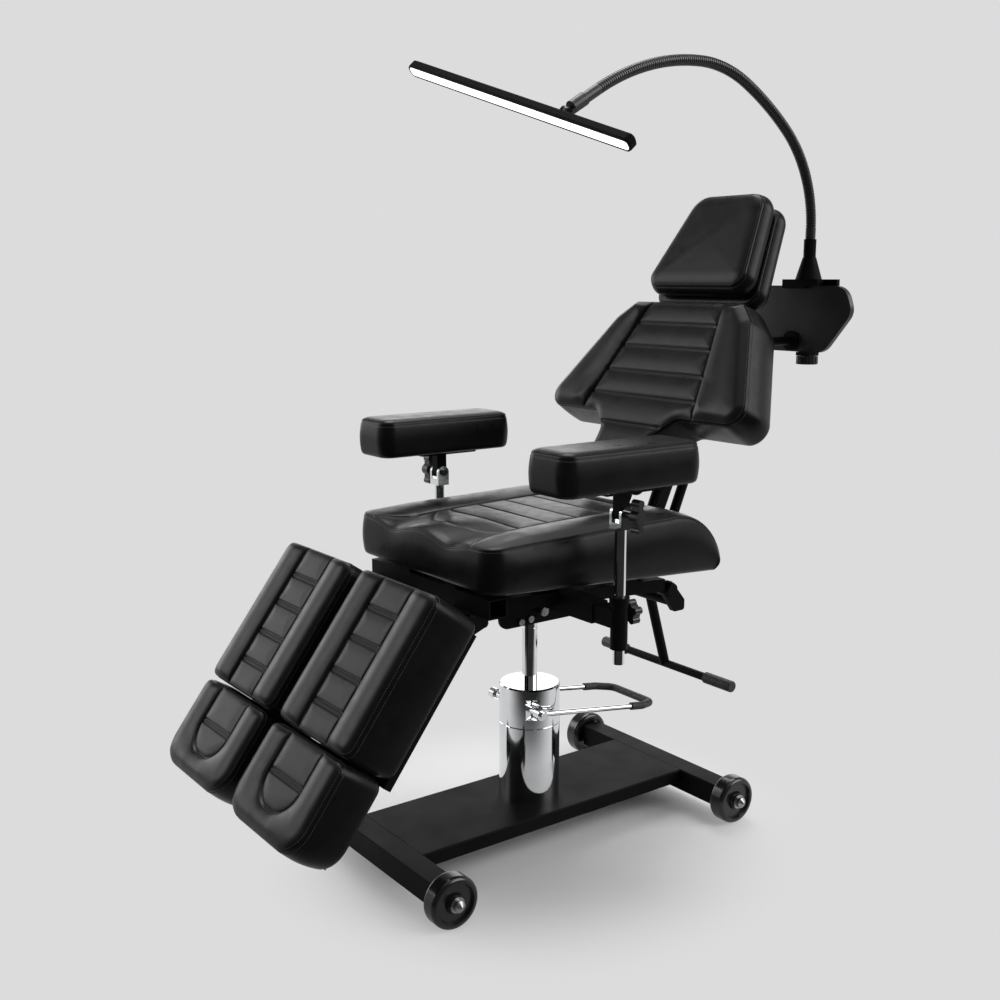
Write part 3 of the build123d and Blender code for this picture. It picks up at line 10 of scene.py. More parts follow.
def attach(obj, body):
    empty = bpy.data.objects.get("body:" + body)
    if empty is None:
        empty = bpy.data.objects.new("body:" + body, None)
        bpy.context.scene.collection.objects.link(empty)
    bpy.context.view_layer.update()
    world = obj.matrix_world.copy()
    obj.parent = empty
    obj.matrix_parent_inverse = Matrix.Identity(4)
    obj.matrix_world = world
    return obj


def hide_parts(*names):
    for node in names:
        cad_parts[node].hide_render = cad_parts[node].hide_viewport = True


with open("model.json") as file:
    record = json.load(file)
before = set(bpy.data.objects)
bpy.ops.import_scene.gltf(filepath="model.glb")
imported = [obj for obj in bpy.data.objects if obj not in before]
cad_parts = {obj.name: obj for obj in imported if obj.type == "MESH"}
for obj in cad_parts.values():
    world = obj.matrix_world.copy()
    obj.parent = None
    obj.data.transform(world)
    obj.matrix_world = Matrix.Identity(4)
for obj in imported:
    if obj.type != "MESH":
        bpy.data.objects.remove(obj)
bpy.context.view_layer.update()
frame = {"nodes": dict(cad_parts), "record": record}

# Camera
camera_azimuth = 53.626
camera_pitch = 10.479
camera_place = (1.9004, -1.4765, 1.1511)
camera_lens = 43.32
camera_reach = 200.0
sensor_width = 36.0

# Floor and backdrop. In reflections the floor darkens towards the camera's side, from front_near to front_far.
background_shade = 0.716
floor_colour = 0.72
floor_half = 40.0
floor_fade_start = 0.26
floor_fade_end = 0.62
front_near = 0.0
front_far = 0.9
front_shade = 0.03

# The room's light, by how far a ray heads away from the camera, from -1 to 1
room_start = -0.75
room_end = 0.35
room_shade = 0.34
behind_camera_shade = 0.12
backdrop_side_end = 0.05
backdrop_top = 0.30
backdrop_fade = 0.55

# Soft boxes: heading, half angle and strength. One is at full strength up to box_core of its angle.
soft_boxes = (
    ((-0.96, -0.24, 0.10), 24.0, 3.2),
    ((-0.56, -0.65, 0.51), 20.0, 5.5),
    ((0.64, 0.58, 0.50), 27.0, 5.5),
    ((-0.78, 0.60, 0.17), 26.0, 1.9),
    ((0.0, 0.1, 1.0), 36.0, 1.4),
)
box_core = 0.45
key_strength = 1.4
key_angle = 30.0
key_turn = (-17.3, -24.8, 0.0)

# Mesh of the upholstery
grid_step = 0.0046
outline_step = 0.0036
edge_rings = (0.0008, 0.0022, 0.0042, 0.0068, 0.0102, 0.0146, 0.0196)
ring_clear = 0.9
seam_rows = (0.0, 0.0013, 0.0029, 0.0052)
least_gap = 0.0011
side_steps = 16
merge_gap = 1e-7

# Stitches: a thread's section is a share of its width across and upwards, and its tips are narrower. The boxing's
# direction is taken from its edge seam to its ring number down_ring.
stitch_pitch = 0.0050
stitch_length = 0.0034
stitch_width = 0.0009
stitch_rise = 0.0002
stitch_offset = 0.0036
stitch_section = (0.62, 0.5)
stitch_rings = ((-1, 0.45), (-0.5, 1), (0.5, 1), (1, 0.45))
stitch_clear = 0.8
down_ring = 4

# Folds and seams: a seam is its depth and its width.
crease_depth = 0.0011
crease_width = 0.0020
base_round = 0.010
seam_fade = 0.006
channel_gap = 0.0034
bolster_roundness = 0.85
hump_width = 0.050
panel_seam = (0.0026, 0.0026)
double_seam = (0.0026, 0.0019)
back_side_seam = (0.0030, 0.0026)
back_row_seam = (0.0030, 0.0034)
seat_row_seam = (0.0016, 0.0022)
seat_arch_seam = (0.0014, 0.0030)

# Backrest cushion. A puff is a bolster's rise, a quilted row's rise and the run in which the row rises.
back_origin = (0.0, 0.297, 0.880)
back_angle = 57.1
back_depth = 0.088
back_crown = 0.00825
back_crown_run = 0.026
back_puff = (0.0085, 0.0022, 0.016)
back_puff_run = 0.016
back_bulge = 0.0075
back_bulge_run = 0.05
tongue_depth = 0.040
tongue_end = -0.190
tongue_taper_top = -0.035
back_half_outline = (
    (0.080, -0.190),
    (0.084, -0.062),
    (0.128, -0.022),
    (0.312, -0.022),
    (0.203, 0.216),
    (0.160, 0.258),
)
back_rounds = (0.012, 0.030, 0.030, 0.036, 0.045, 0.014)
back_seam_top = (0.108, 0.252)
back_seam_low = (0.168, -0.018)
back_seam_margin = 0.01
back_channels = (0.200, 0.141, 0.078, 0.019)
back_lower_channel = -0.048
back_lower_half = 0.088

# Headrest cushions. A form is the edge's run, the rise of the middle and the run in which it rises.
head_origin = (0.0, 0.451, 1.144)
head_angle = 59.0
head_layer = 0.042
head_crown = 0.010
head_form = (0.034, 0.003, 0.07)
head_bulge = 0.0075
pillow_half_outline = ((0.148, -0.015), (0.098, 0.216))
head_half_outline = ((0.156, -0.030), (0.103, 0.210))
head_rounds = (0.030, 0.045)

# Arm pads
pad_x = 0.296
pad_front = -0.199
pad_rear = 0.129
pad_half_width = 0.058
pad_seam_top = 0.847
pad_depth = 0.069
pad_crown = 0.011
pad_form = (0.022, 0.002, 0.05)
pad_round = 0.027
pad_bulge = 0.0038

# Leg cushions
leg_x = 0.145
leg_y = -0.398
leg_z = 0.625
leg_angle = 53.3
leg_half_width = 0.129
leg_crown = 0.0054
leg_crown_run = 0.020
leg_puff_run = 0.016
leg_bulge = 0.0042
leg_end_bulge = 0.0038
leg_top_bulge = 0.0015
leg_bulge_run = 0.020
calf_start = 0.0015
calf_end = 0.306
calf_depth = 0.099
calf_round = 0.022
calf_panel = 0.050
calf_puff = (0.0095, 0.0020, 0.012)
calf_channels = (0.063, 0.124, 0.188, 0.249)
foot_start = 0.315
foot_end = 0.487
foot_depth = 0.087
foot_top_round = 0.020
foot_low_round = 0.055
foot_panel = 0.059
foot_panel_length = 0.127
foot_panel_bend = 0.050
foot_puff = (0.0075, 0.0018, 0.014)
foot_channel = 0.072

# Seat cushion
seat_half_width = 0.230
seat_front = -0.270
seat_front_top = 0.6775
seat_top_end = (0.178, 0.686)
seat_fall = (0.261, 0.665)
seat_end = (0.321, 0.573)
seat_fall_points = 60
seat_low_front = (-0.270, 0.5935)
seat_low_end = (0.298, 0.561)
seat_depth = 0.085
seat_edge_drop = 0.003
seat_crown = 0.003
seat_crown_run = 0.030
seat_corner_round = 0.034
seat_end_round = 0.030
seat_bulge = 0.0095
seat_front_bulge = 0.0040
seat_bulge_run = 0.060
notch_half_width = 0.070
notch_round = 0.006
notch_y = 0.215
seat_panel = 0.122
seat_panel_end = 0.470
seat_puff = (0.0075, 0.0012, 0.016)
seat_puff_run = 0.02
seat_seam_flare = ((0.004, 0.050), (0.050, 0.012), (0.120, 0.0))
seat_channel_places = (0.150, 0.222, 0.294, 0.366, 0.438)
seat_arch = ((-1, 0.120), (-0.6, 0.085), (0, 0.072), (0.6, 0.085), (1, 0.120))
thigh_place = 0.098
thigh_width = 0.046
thigh_dip = 0.0135
thigh_reach = 0.105
front_hump = 0.003
front_hump_width = 0.04
bolster_start = 0.010
bolster_end = 0.520
bolster_run = 0.10

# A short step that shows which way a place moves
probe = 0.001


# Places

class Flat:
    """A cushion's own plane: X across, Y up its length and Z out of its face."""

    def __init__(self, origin, angle):
        turn = radians(angle)
        self.origin = np.array(origin)
        self.axes = np.array(((1, 0, 0), (0, cos(turn), sin(turn)), (0, -sin(turn), cos(turn))))

    def world(self, points):
        return self.origin + points @ self.axes


def arc_through(start, middle, end, count):
    """Points on the arc through three (y, z) places."""
    (ax, ay), (bx, by), (cx, cy) = start, middle, end
    d = 2 * (ax * (by - cy) + bx * (cy - ay) + cx * (ay - by))
    a2, b2, c2 = ax * ax + ay * ay, bx * bx + by * by, cx * cx + cy * cy
    x = (a2 * (by - cy) + b2 * (cy - ay) + c2 * (ay - by)) / d
    y = (a2 * (cx - bx) + b2 * (ax - cx) + c2 * (bx - ax)) / d
    first = np.arctan2(ay - y, ax - x)
    last = np.arctan2(cy - y, cx - x)
    radius = np.hypot(ax - x, ay - y)
    turns = np.linspace(first, last, count)
    return np.stack([x + radius * np.cos(turns), y + radius * np.sin(turns)], axis=1)


class SeatTop:
    """The seat's top, a profile that falls away at the rear: X across, Y along it, Z off it."""

    def __init__(self):
        fall = arc_through(seat_top_end, seat_fall, seat_end, seat_fall_points)
        path = np.vstack([[(seat_front, seat_front_top)], fall])
        steps = np.hypot(*np.diff(path, axis=0).T)
        self.along = np.concatenate([[0], np.cumsum(steps)])
        self.path = path
        tangent = np.gradient(path, self.along, axis=0)
        tangent /= np.linalg.norm(tangent, axis=1)[:, None]
        self.normal = np.stack([-tangent[:, 1], tangent[:, 0]], axis=1)
        self.length = self.along[-1]
        self.notch = float(np.interp(notch_y, path[:, 0], self.along))

    def world(self, points):
        v = points[:, 1]
        y = np.interp(v, self.along, self.path[:, 0])
        z = np.interp(v, self.along, self.path[:, 1])
        ny = np.interp(v, self.along, self.normal[:, 0])
        nz = np.interp(v, self.along, self.normal[:, 1])
        return np.stack([points[:, 0], y + ny * points[:, 2], z + nz * points[:, 2]], axis=1)


# Outlines and distances

def both_halves(half):
    """A closed outline from its right half, which runs from the bottom to the top."""
    return [tuple(p) for p in half] + [(-x, y) for x, y in reversed(half)]


def both_rounds(half):
    return list(half) + list(reversed(half))


def rounded_loop(corners, radii, step, closed=True):
    """Points along an outline whose corners are arcs."""
    points = []
    corners = [np.array(c, float) for c in corners]
    count = len(corners)
    for i in range(count):
        here = corners[i]
        if not closed and i in (0, count - 1):
            points.append(here)
            continue
        back = corners[i - 1] - here
        on = corners[(i + 1) % count] - here
        back /= np.linalg.norm(back)
        on /= np.linalg.norm(on)
        half = np.arccos(np.clip(back @ on, -1, 1)) / 2
        bisector = (back + on) / np.linalg.norm(back + on)
        centre = here + bisector * radii[i] / sin(half)
        first = here + back * radii[i] / tan(half) - centre
        last = here + on * radii[i] / tan(half) - centre
        turn = np.arccos(np.clip(first @ last / radii[i] ** 2, -1, 1))
        pieces = max(2, int(np.ceil(radii[i] * turn / step)))
        for j in range(pieces + 1):
            share = j / pieces
            arm = (first * sin((1 - share) * turn) + last * sin(share * turn)) / sin(turn)
            points.append(centre + arm)
    if closed:
        points.append(points[0])
    return spaced(np.array(points), step, closed)


def spaced(points, step, closed=False):
    """The same line with points at even distances."""
    steps = np.linalg.norm(np.diff(points, axis=0), axis=1)
    along = np.concatenate([[0], np.cumsum(steps)])
    count = max(2, int(round(along[-1] / step)))
    places = np.linspace(0, along[-1], count + 1)
    if closed:
        places = places[:-1]
    return np.stack([np.interp(places, along, column) for column in points.T], axis=1)


def curve_through(points):
    """A smooth line through a few places."""
    points = np.array(points, float)
    steps = np.concatenate([[0], np.cumsum(np.hypot(*np.diff(points, axis=0).T))])
    padded = np.vstack([2 * points[0] - points[1], points, 2 * points[-1] - points[-2]])
    line = []
    for i in range(len(points) - 1):
        p0, p1, p2, p3 = padded[i:i + 4]
        count = max(2, int((steps[i + 1] - steps[i]) / outline_step))
        for j in range(count):
            t = j / count
            line.append(0.5 * (2 * p1 + (p2 - p0) * t + (2 * p0 - 5 * p1 + 4 * p2 - p3) * t * t
                               + (3 * p1 - p0 - 3 * p2 + p3) * t ** 3))
    line.append(points[-1])
    return np.array(line)


def distance_to(points, line, closed=False):
    """How far each point is from a line of points, found for a block of points at a time to save memory."""
    ends = np.roll(line, -1, axis=0) if closed else line[1:]
    starts = line if closed else line[:-1]
    best = np.full(len(points), np.inf)
    size = 4000
    for first in range(0, len(points), size):
        block = points[first:first + size, None, :]
        run = ends - starts
        share = ((block - starts) * run).sum(2) / np.maximum((run * run).sum(1), 1e-12)
        gap = block - (starts + np.clip(share, 0, 1)[:, :, None] * run)
        best[first:first + size] = np.sqrt((gap * gap).sum(2)).min(1)
    return best


def inward(loop):
    """The direction into a closed outline at each of its points."""
    run = np.roll(loop, -1, axis=0) - np.roll(loop, 1, axis=0)
    run /= np.linalg.norm(run, axis=1)[:, None]
    return np.stack([-run[:, 1], run[:, 0]], axis=1)


def sideways(line):
    """The direction to the left of an open line at each of its points."""
    run = np.gradient(line, axis=0)
    run /= np.linalg.norm(run, axis=1)[:, None]
    return np.stack([-run[:, 1], run[:, 0]], axis=1)


def inside(points, loop):
    """Which points lie inside a closed outline."""
    ends = np.roll(loop, -1, axis=0)
    x, y = points[:, 0][:, None], points[:, 1][:, None]
    crosses = (loop[:, 1] > y) != (ends[:, 1] > y)
    rise = np.where(ends[:, 1] == loop[:, 1], 1e-12, ends[:, 1] - loop[:, 1])
    at = loop[:, 0] + (y - loop[:, 1]) * (ends[:, 0] - loop[:, 0]) / rise
    return ((crosses & (x < at)).sum(1) % 2) == 1


def thinned(points, gap):
    """The points without those that crowd an earlier one."""
    seen = set()
    kept = []
    for p in points:
        cell = (round(p[0] / gap), round(p[1] / gap))
        if cell not in seen:
            seen.add(cell)
            kept.append(p)
    return np.array(kept)


# Forms of a face

def edge_curve(edge, reach):
    """A face's rounded edge, from 0 at its seam to 1 at that distance inside it."""
    share = np.clip(edge / reach, 0, 1)
    return np.sqrt(1 - (1 - share) ** 2)


def hump(gap, edge):
    """A bolster's round section, from 0 at its seam to 1 at its middle and 0 at the face's edge."""
    width = np.maximum(gap + np.maximum(edge, 0), 1e-6)
    return np.sin(pi * np.clip(gap / width, 0, 1)) ** bolster_roundness * np.clip(width / hump_width, 0, 1)


def swell(gap, reach):
    """How far a panel has risen at a distance from its seam, from 0 to 1."""
    return 1 - np.exp(-((gap / reach) ** 2))


def puffed(bolster, side_gap, edge, row_gap, puff):
    """The swelling of a face's bolsters and of the quilted rows between them."""
    bolster_rise, row_rise, row_run = puff
    return np.where(bolster, bolster_rise * hump(side_gap, edge), row_rise * swell(row_gap, row_run))


def crowned(crown, edge_run, rise, rise_run):
    """A plain face: a rounded edge and a soft rise towards the middle."""
    return lambda x, y, edge, gaps: crown * edge_curve(edge, edge_run) + rise * swell(edge, rise_run)


def plain_depth(depth):
    return lambda x, y: np.full(len(x), depth)


# Upholstery

class Seam:
    """A line sewn across a face: how deep and wide it is, and on which sides its stitches run."""

    def __init__(self, points, size, stitched=()):
        self.line = spaced(np.array(points, float), outline_step)
        self.depth, self.width = size
        self.stitched = stitched
        self.spread = max(1.0, self.width / crease_width / 2)


def face_points(loop, seams):
    """Points for a face's mesh, dense along its edge and its seams."""
    rings = [loop + inward(loop) * d for d in edge_rings]
    kept = [ring[distance_to(ring, loop, True) > ring_clear * d] for ring, d in zip(rings, edge_rings)]
    rows = []
    for seam in seams:
        across = sideways(seam.line)
        for d in seam_rows:
            rows.append(seam.line + across * d * seam.spread)
            if d > 0:
                rows.append(seam.line - across * d * seam.spread)
    if rows:
        rows = np.vstack(rows)
        rows = rows[distance_to(rows, loop, True) > least_gap]
    low, high = loop.min(0), loop.max(0)
    xs = np.arange(low[0], high[0], grid_step)
    ys = np.arange(low[1], high[1], grid_step)
    middle = (low[0] + high[0] - xs[0] - xs[-1]) / 2
    grid = np.stack(np.meshgrid(xs + middle, ys), axis=-1).reshape(-1, 2)
    grid = grid[distance_to(grid, loop, True) > edge_rings[-1] + grid_step / 2]
    for seam in seams:
        grid = grid[distance_to(grid, seam.line) > seam_rows[-1] * seam.spread + grid_step / 2]
    inner = np.vstack([*kept, rows, grid] if len(rows) else [*kept, grid])
    inner = inner[inside(inner, loop)]
    return thinned(inner, least_gap)


def face_heights(points, loop, seams, height):
    """The face's height at each point: its form, less its seams."""
    edge = distance_to(points, loop, True)
    gaps = [distance_to(points, seam.line) for seam in seams]
    z = height(points[:, 0], points[:, 1], edge, gaps)
    for seam, gap in zip(seams, gaps):
        z = z - seam.depth * np.exp(-((gap / seam.width) ** 2)) * np.clip(edge / seam_fade, 0, 1)
    return z


def side_rings(loop, depth_at, bulge):
    """The boxing below a face's edge seam, ring by ring down to its base: places and depths."""
    into = inward(loop)
    depths = depth_at(loop[:, 0], loop[:, 1])
    rings = []
    for k in range(1, side_steps + 1):
        share = k / side_steps
        share = (share + share * share * (3 - 2 * share)) / 2
        down = depths * share
        crease = crease_depth * (1 - np.exp(-((down / crease_width) ** 2)))
        out = bulge * np.sin(pi * share)
        left = np.clip((depths - down) / base_round, 0, 1)
        tuck = base_round / 2 * (1 - np.sqrt(1 - (1 - left) ** 2))
        pull = crease_depth - crease - out + tuck
        rings.append(np.column_stack([loop + into * pull[:, None], -down]))
    return rings


def threads(path, above):
    """A short thread at every other point of a line, turned by the points above it."""
    points = []
    faces = []
    for i in range(1, len(path) - 1, 2):
        run = path[i + 1] - path[i - 1]
        run /= np.linalg.norm(run)
        up = above[i] - path[i]
        up /= np.linalg.norm(up)
        side = np.cross(run, up)
        half = stitch_length / 2
        wide, high = stitch_section
        first = len(points)
        centre = path[i]
        for share, size in stitch_rings:
            for j in range(4):
                turn = pi / 2 * (j + 0.5)
                ring = side * cos(turn) * stitch_width * wide + up * sin(turn) * stitch_width * high
                points.append(centre + run * half * share + ring * size)
        for k in range(3):
            for j in range(4):
                a = first + 4 * k + j
                b = first + 4 * k + (j + 1) % 4
                faces.append((a, b, b + 4, a + 4))
        faces.append(tuple(first + j for j in (3, 2, 1, 0)))
        faces.append(tuple(first + 12 + j for j in range(4)))
    return np.array(points).reshape(-1, 3), faces


def face_stitches(line, loop, seams, height, place):
    """Short threads along a line on a cushion's face."""
    line = spaced(line, stitch_pitch / 2)
    z = face_heights(line, loop, seams, height)
    path = place.world(np.column_stack([line, z + stitch_rise]))
    above = place.world(np.column_stack([line, z + stitch_rise + stitch_width]))
    return threads(path, above)


def boxing_stitches(rings):
    """Short threads round a cushion's boxing, just below its edge seam."""
    steps = np.linalg.norm(np.diff(rings, axis=0), axis=2)
    down = np.concatenate([np.zeros((1, rings.shape[1])), np.cumsum(steps, axis=0)])
    line = []
    for i in range(rings.shape[1]):
        line.append([np.interp(stitch_offset, down[:, i], rings[:, i, k]) for k in range(3)])
    line = np.array(line)
    drop = rings[down_ring] - rings[0]
    run = np.roll(line, -1, axis=0) - np.roll(line, 1, axis=0)
    out = np.cross(drop, run)
    out /= np.linalg.norm(out, axis=1)[:, None]
    both = np.column_stack([line + out * stitch_rise, line + out * (stitch_rise + stitch_width)])
    both = spaced(np.vstack([both, both[:1]]), stitch_pitch / 2)
    return threads(both[:, :3], both[:, 3:])


def cushion_surface(place, loop, height, depth_at, bulge, seams, below):
    """A cushion's points and faces, and the points of its boxing ring by ring from the edge seam to the base."""
    inner = face_points(loop, seams)
    flat = np.vstack([loop, inner])
    count = len(loop)
    found = delaunay_2d_cdt([Vector(p) for p in flat], [], [list(range(count))], 1, merge_gap)
    faces = [tuple(f) for f in found[2]]
    flat = np.array([tuple(p) for p in found[0]])
    order = {}
    for i, sources in enumerate(found[3]):
        for s in sources:
            order[s] = i
    z = face_heights(flat, loop, seams, height)
    moved = flat.copy()
    rim = [order[i] for i in range(count)]
    moved[rim] += inward(loop) * crease_depth
    top = place.world(np.column_stack([moved, z]))
    rings = side_rings(loop, depth_at, bulge)
    points = np.vstack([top, place.world(np.vstack(rings)) if below is None else below(rings)])
    total = len(flat)
    starts = [rim] + [list(range(total + k * count, total + (k + 1) * count)) for k in range(len(rings))]
    for upper, lower in zip(starts, starts[1:]):
        for i in range(count):
            j = (i + 1) % count
            faces.append((upper[j], upper[i], lower[i], lower[j]))
    faces.append(tuple(reversed(starts[-1])))
    return points, faces, np.stack([points[ring] for ring in starts])


def cushion_threads(place, loop, height, seams, boxing):
    """The stitches round a cushion's boxing, along its edge seam and beside its other seams."""
    edge_line = loop + inward(loop) * stitch_offset
    lines = [np.vstack([edge_line, edge_line[:1]])]
    for seam in seams:
        across = sideways(seam.line)
        for side in seam.stitched:
            lines.append(seam.line + across * side * stitch_offset)
    rows = [boxing_stitches(boxing)]
    for line in lines:
        line = line[distance_to(line, loop, True) > stitch_offset * stitch_clear]
        if len(line) > 2:
            rows.append(face_stitches(line, loop, seams, height, place))
    faces = []
    first = 0
    for more, quads in rows:
        faces += [tuple(first + i for i in f) for f in quads]
        first += len(more)
    return np.vstack([more for more, _ in rows]), faces


def mirrored(points, faces):
    return points * (-1, 1, 1), [tuple(reversed(f)) for f in faces]


def new_mesh(name, points, faces, material):
    mesh = bpy.data.meshes.new(name)
    mesh.from_pydata([tuple(p) for p in points], [], faces)
    mesh.update()
    mesh.polygons.foreach_set("use_smooth", [True] * len(mesh.polygons))
    piece = bpy.data.objects.new(name, mesh)
    bpy.context.scene.collection.objects.link(piece)
    mesh.materials.append(material)
    return piece


def upholster(name, body, node, place, loop, height, depth_at, bulge, seams=(), flip=False, below=None):
    """A cushion in place of its plain solid: its face, its boxing and base, and the stitches along its seams."""
    points, faces, boxing = cushion_surface(place, loop, height, depth_at, bulge, seams, below)
    sewn, quads = cushion_threads(place, loop, height, seams, boxing)
    if flip:
        points, faces = mirrored(points, faces)
        sewn, quads = mirrored(sewn, quads)
    piece = new_mesh(name, points, faces, leather)
    sewing = new_mesh(name + "_stitches", sewn, quads, thread)
    sewing.parent = piece
    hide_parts(node)
    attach(piece, body)


# Materials

def link(tree, source, target):
    tree.links.new(source, target)


def noise(tree, scale, detail, stretch=(1, 1, 1)):
    """A noise texture in the object's own metres."""
    place = tree.nodes.new("ShaderNodeTexCoord")
    mapping = tree.nodes.new("ShaderNodeMapping")
    mapping.inputs["Scale"].default_value = stretch
    texture = tree.nodes.new("ShaderNodeTexNoise")
    texture.inputs["Scale"].default_value = scale
    texture.inputs["Detail"].default_value = detail
    link(tree, place.outputs["Object"], mapping.inputs["Vector"])
    link(tree, mapping.outputs["Vector"], texture.inputs["Vector"])
    return texture.outputs["Fac"]


def cells(tree, scale):
    """The grain of leather: how far each place is from the edge of its cell."""
    place = tree.nodes.new("ShaderNodeTexCoord")
    texture = tree.nodes.new("ShaderNodeTexVoronoi")
    texture.feature = "DISTANCE_TO_EDGE"
    texture.inputs["Scale"].default_value = scale
    link(tree, place.outputs["Object"], texture.inputs["Vector"])
    return texture.outputs["Distance"]


# A noise's value is mostly between these two.
noise_low = 0.3
noise_high = 0.7


def spread(tree, source, low, high):
    """A noise turned into a value between two others."""
    ramp = tree.nodes.new("ShaderNodeMapRange")
    ramp.inputs["From Min"].default_value = noise_low
    ramp.inputs["From Max"].default_value = noise_high
    ramp.inputs["To Min"].default_value = low
    ramp.inputs["To Max"].default_value = high
    link(tree, source, ramp.inputs["Value"])
    return ramp.outputs["Result"]


def shades(tree, source, low, high):
    """A noise turned into a colour between two others."""
    ramp = tree.nodes.new("ShaderNodeValToRGB")
    ramp.color_ramp.elements[0].position = noise_low
    ramp.color_ramp.elements[1].position = noise_high
    ramp.color_ramp.elements[0].color = (*low, 1)
    ramp.color_ramp.elements[1].color = (*high, 1)
    link(tree, source, ramp.inputs["Fac"])
    return ramp.outputs["Color"]


def bumped(tree, bsdf, layers):
    """Bump from several height textures, each with its strength and its depth in metres."""
    normal = None
    for height, strength, depth in layers:
        bump = tree.nodes.new("ShaderNodeBump")
        bump.inputs["Strength"].default_value = strength
        bump.inputs["Distance"].default_value = depth
        link(tree, height, bump.inputs["Height"])
        if normal is not None:
            link(tree, normal, bump.inputs["Normal"])
        normal = bump.outputs["Normal"]
    link(tree, normal, bsdf.inputs["Normal"])


def finish(name, colour, roughness, tint=None, rough=None, bumps=(), metallic=0.0, gloss=0.5, glow=0.0):
    """A material. Its tint and roughness are each a texture with two values, and a bump is a texture, its strength
    and its depth. A texture is its function with that function's own values."""
    material = bpy.data.materials.new(name)
    material.use_nodes = True
    tree = material.node_tree
    bsdf = tree.nodes["Principled BSDF"]
    bsdf.inputs["Base Color"].default_value = (*colour, 1)
    bsdf.inputs["Roughness"].default_value = roughness
    bsdf.inputs["Metallic"].default_value = metallic
    bsdf.inputs["Specular IOR Level"].default_value = gloss
    if glow:
        bsdf.inputs["Emission Color"].default_value = (1, 1, 1, 1)
        bsdf.inputs["Emission Strength"].default_value = glow
    made = {}

    def textured(texture):
        if texture not in made:
            made[texture] = texture[0](tree, *texture[1:])
        return made[texture]

    if tint:
        link(tree, shades(tree, textured(tint[0]), *tint[1:]), bsdf.inputs["Base Color"])
    if rough:
        link(tree, spread(tree, textured(rough[0]), *rough[1:]), bsdf.inputs["Roughness"])
    if bumps:
        bumped(tree, bsdf, [(textured(texture), *sizes) for texture, *sizes in bumps])
    return material


def moulded(name, colour, rough_low, rough_high, scale, depth):
    """A moulded material with a fine skin: rubber, plastic or a soft grip."""
    darker = tuple(c * 0.8 for c in colour)
    lighter = tuple(c * 1.25 for c in colour)
    patches = (noise, 11, 3)
    skin = (noise, scale, 3)
    return finish(name, colour, rough_low, tint=(patches, darker, lighter), rough=(patches, rough_low, rough_high),
                  bumps=((skin, 0.25, depth),))


leather_folds = (noise, 38, 4)
thread_twist = (noise, 1800, 2)
paint_wear = (noise, 14, 4)
chrome_haze = (noise, 22, 4)
steel_haze = (noise, 160, 3)
board_grain = (noise, 60, 5, (1, 0.06, 1))

leather = finish(
    "black_leather", (0.004, 0.004, 0.0044), 0.30, gloss=0.16,
    tint=((noise, 9, 3), (0.0035, 0.0035, 0.0038), (0.006, 0.006, 0.0064)),
    rough=(leather_folds, 0.27, 0.37),
    bumps=(((cells, 620), 0.10, 0.0003), (leather_folds, 0.14, 0.0016)),
)
thread = finish(
    "black_thread", (0.02, 0.02, 0.021), 0.5,
    tint=(thread_twist, (0.014, 0.014, 0.015), (0.05, 0.05, 0.052)),
    bumps=((thread_twist, 0.4, 0.0003),),
)
finishes = {
    "black_paint": finish(
        "black_powder_coat", (0.0045, 0.0045, 0.0048), 0.48, gloss=0.045,
        tint=(paint_wear, (0.004, 0.004, 0.0042), (0.0062, 0.0062, 0.0066)),
        rough=(paint_wear, 0.42, 0.54),
        bumps=(((noise, 420, 2), 0.18, 0.0004),),
    ),
    "chrome": finish(
        "polished_chrome", (0.78, 0.79, 0.81), 0.06, metallic=1.0,
        tint=(chrome_haze, (0.74, 0.75, 0.77), (0.84, 0.85, 0.86)),
        rough=(chrome_haze, 0.04, 0.10),
    ),
    "zinc_steel": finish(
        "bolt_steel", (0.32, 0.32, 0.33), 0.3, metallic=1.0,
        tint=(steel_haze, (0.26, 0.26, 0.27), (0.4, 0.4, 0.41)),
        rough=(steel_haze, 0.24, 0.4),
    ),
    "grip_rubber": moulded("grip_rubber", (0.014, 0.014, 0.014), 0.5, 0.62, 500, 0.0005),
    "wheel_black": moulded("wheel_plastic", (0.008, 0.008, 0.009), 0.16, 0.24, 90, 0.0002),
    "black_leather": leather,
    "board_wood": finish(
        "stained_board", (0.05, 0.04, 0.03), 0.6,
        tint=(board_grain, (0.03, 0.024, 0.018), (0.09, 0.07, 0.05)),
        bumps=((board_grain, 0.3, 0.0005),),
    ),
    "black_plastic": moulded("black_plastic", (0.012, 0.012, 0.013), 0.32, 0.42, 350, 0.0003),
    "white_diffuser": finish(
        "lit_diffuser", (0.9, 0.9, 0.9), 0.35, glow=1.6,
        bumps=(((noise, 300, 2), 0.1, 0.0003),),
    ),
}
for part in frame["record"]["subparts"]:
    node = frame["nodes"][part["node"]]
    node.data.materials.clear()
    node.data.materials.append(finishes[part["material_slot"]])


# Cushions

def back_depth_at(x, y):
    share = np.clip((y - tongue_end) / (tongue_taper_top - tongue_end), 0, 1)
    return tongue_depth + (back_depth - tongue_depth) * share


def back_seam_at(y):
    """How far the wings' seams are from the middle of the back."""
    top, low = back_seam_top, back_seam_low
    return top[0] + (top[1] - y) / (top[1] - low[1]) * (low[0] - top[0])


def back_height(x, y, edge, gaps):
    sides = np.minimum(gaps[0], gaps[1])
    rows = np.minimum.reduce(gaps[2:])
    bolster = (np.abs(x) > back_seam_at(y)) & (y > back_seam_low[1] - back_seam_margin)
    puff = puffed(bolster, sides, edge, np.minimum(sides, rows), back_puff)
    return back_crown * edge_curve(edge, back_crown_run) + puff * np.clip(edge / back_puff_run, 0, 1)


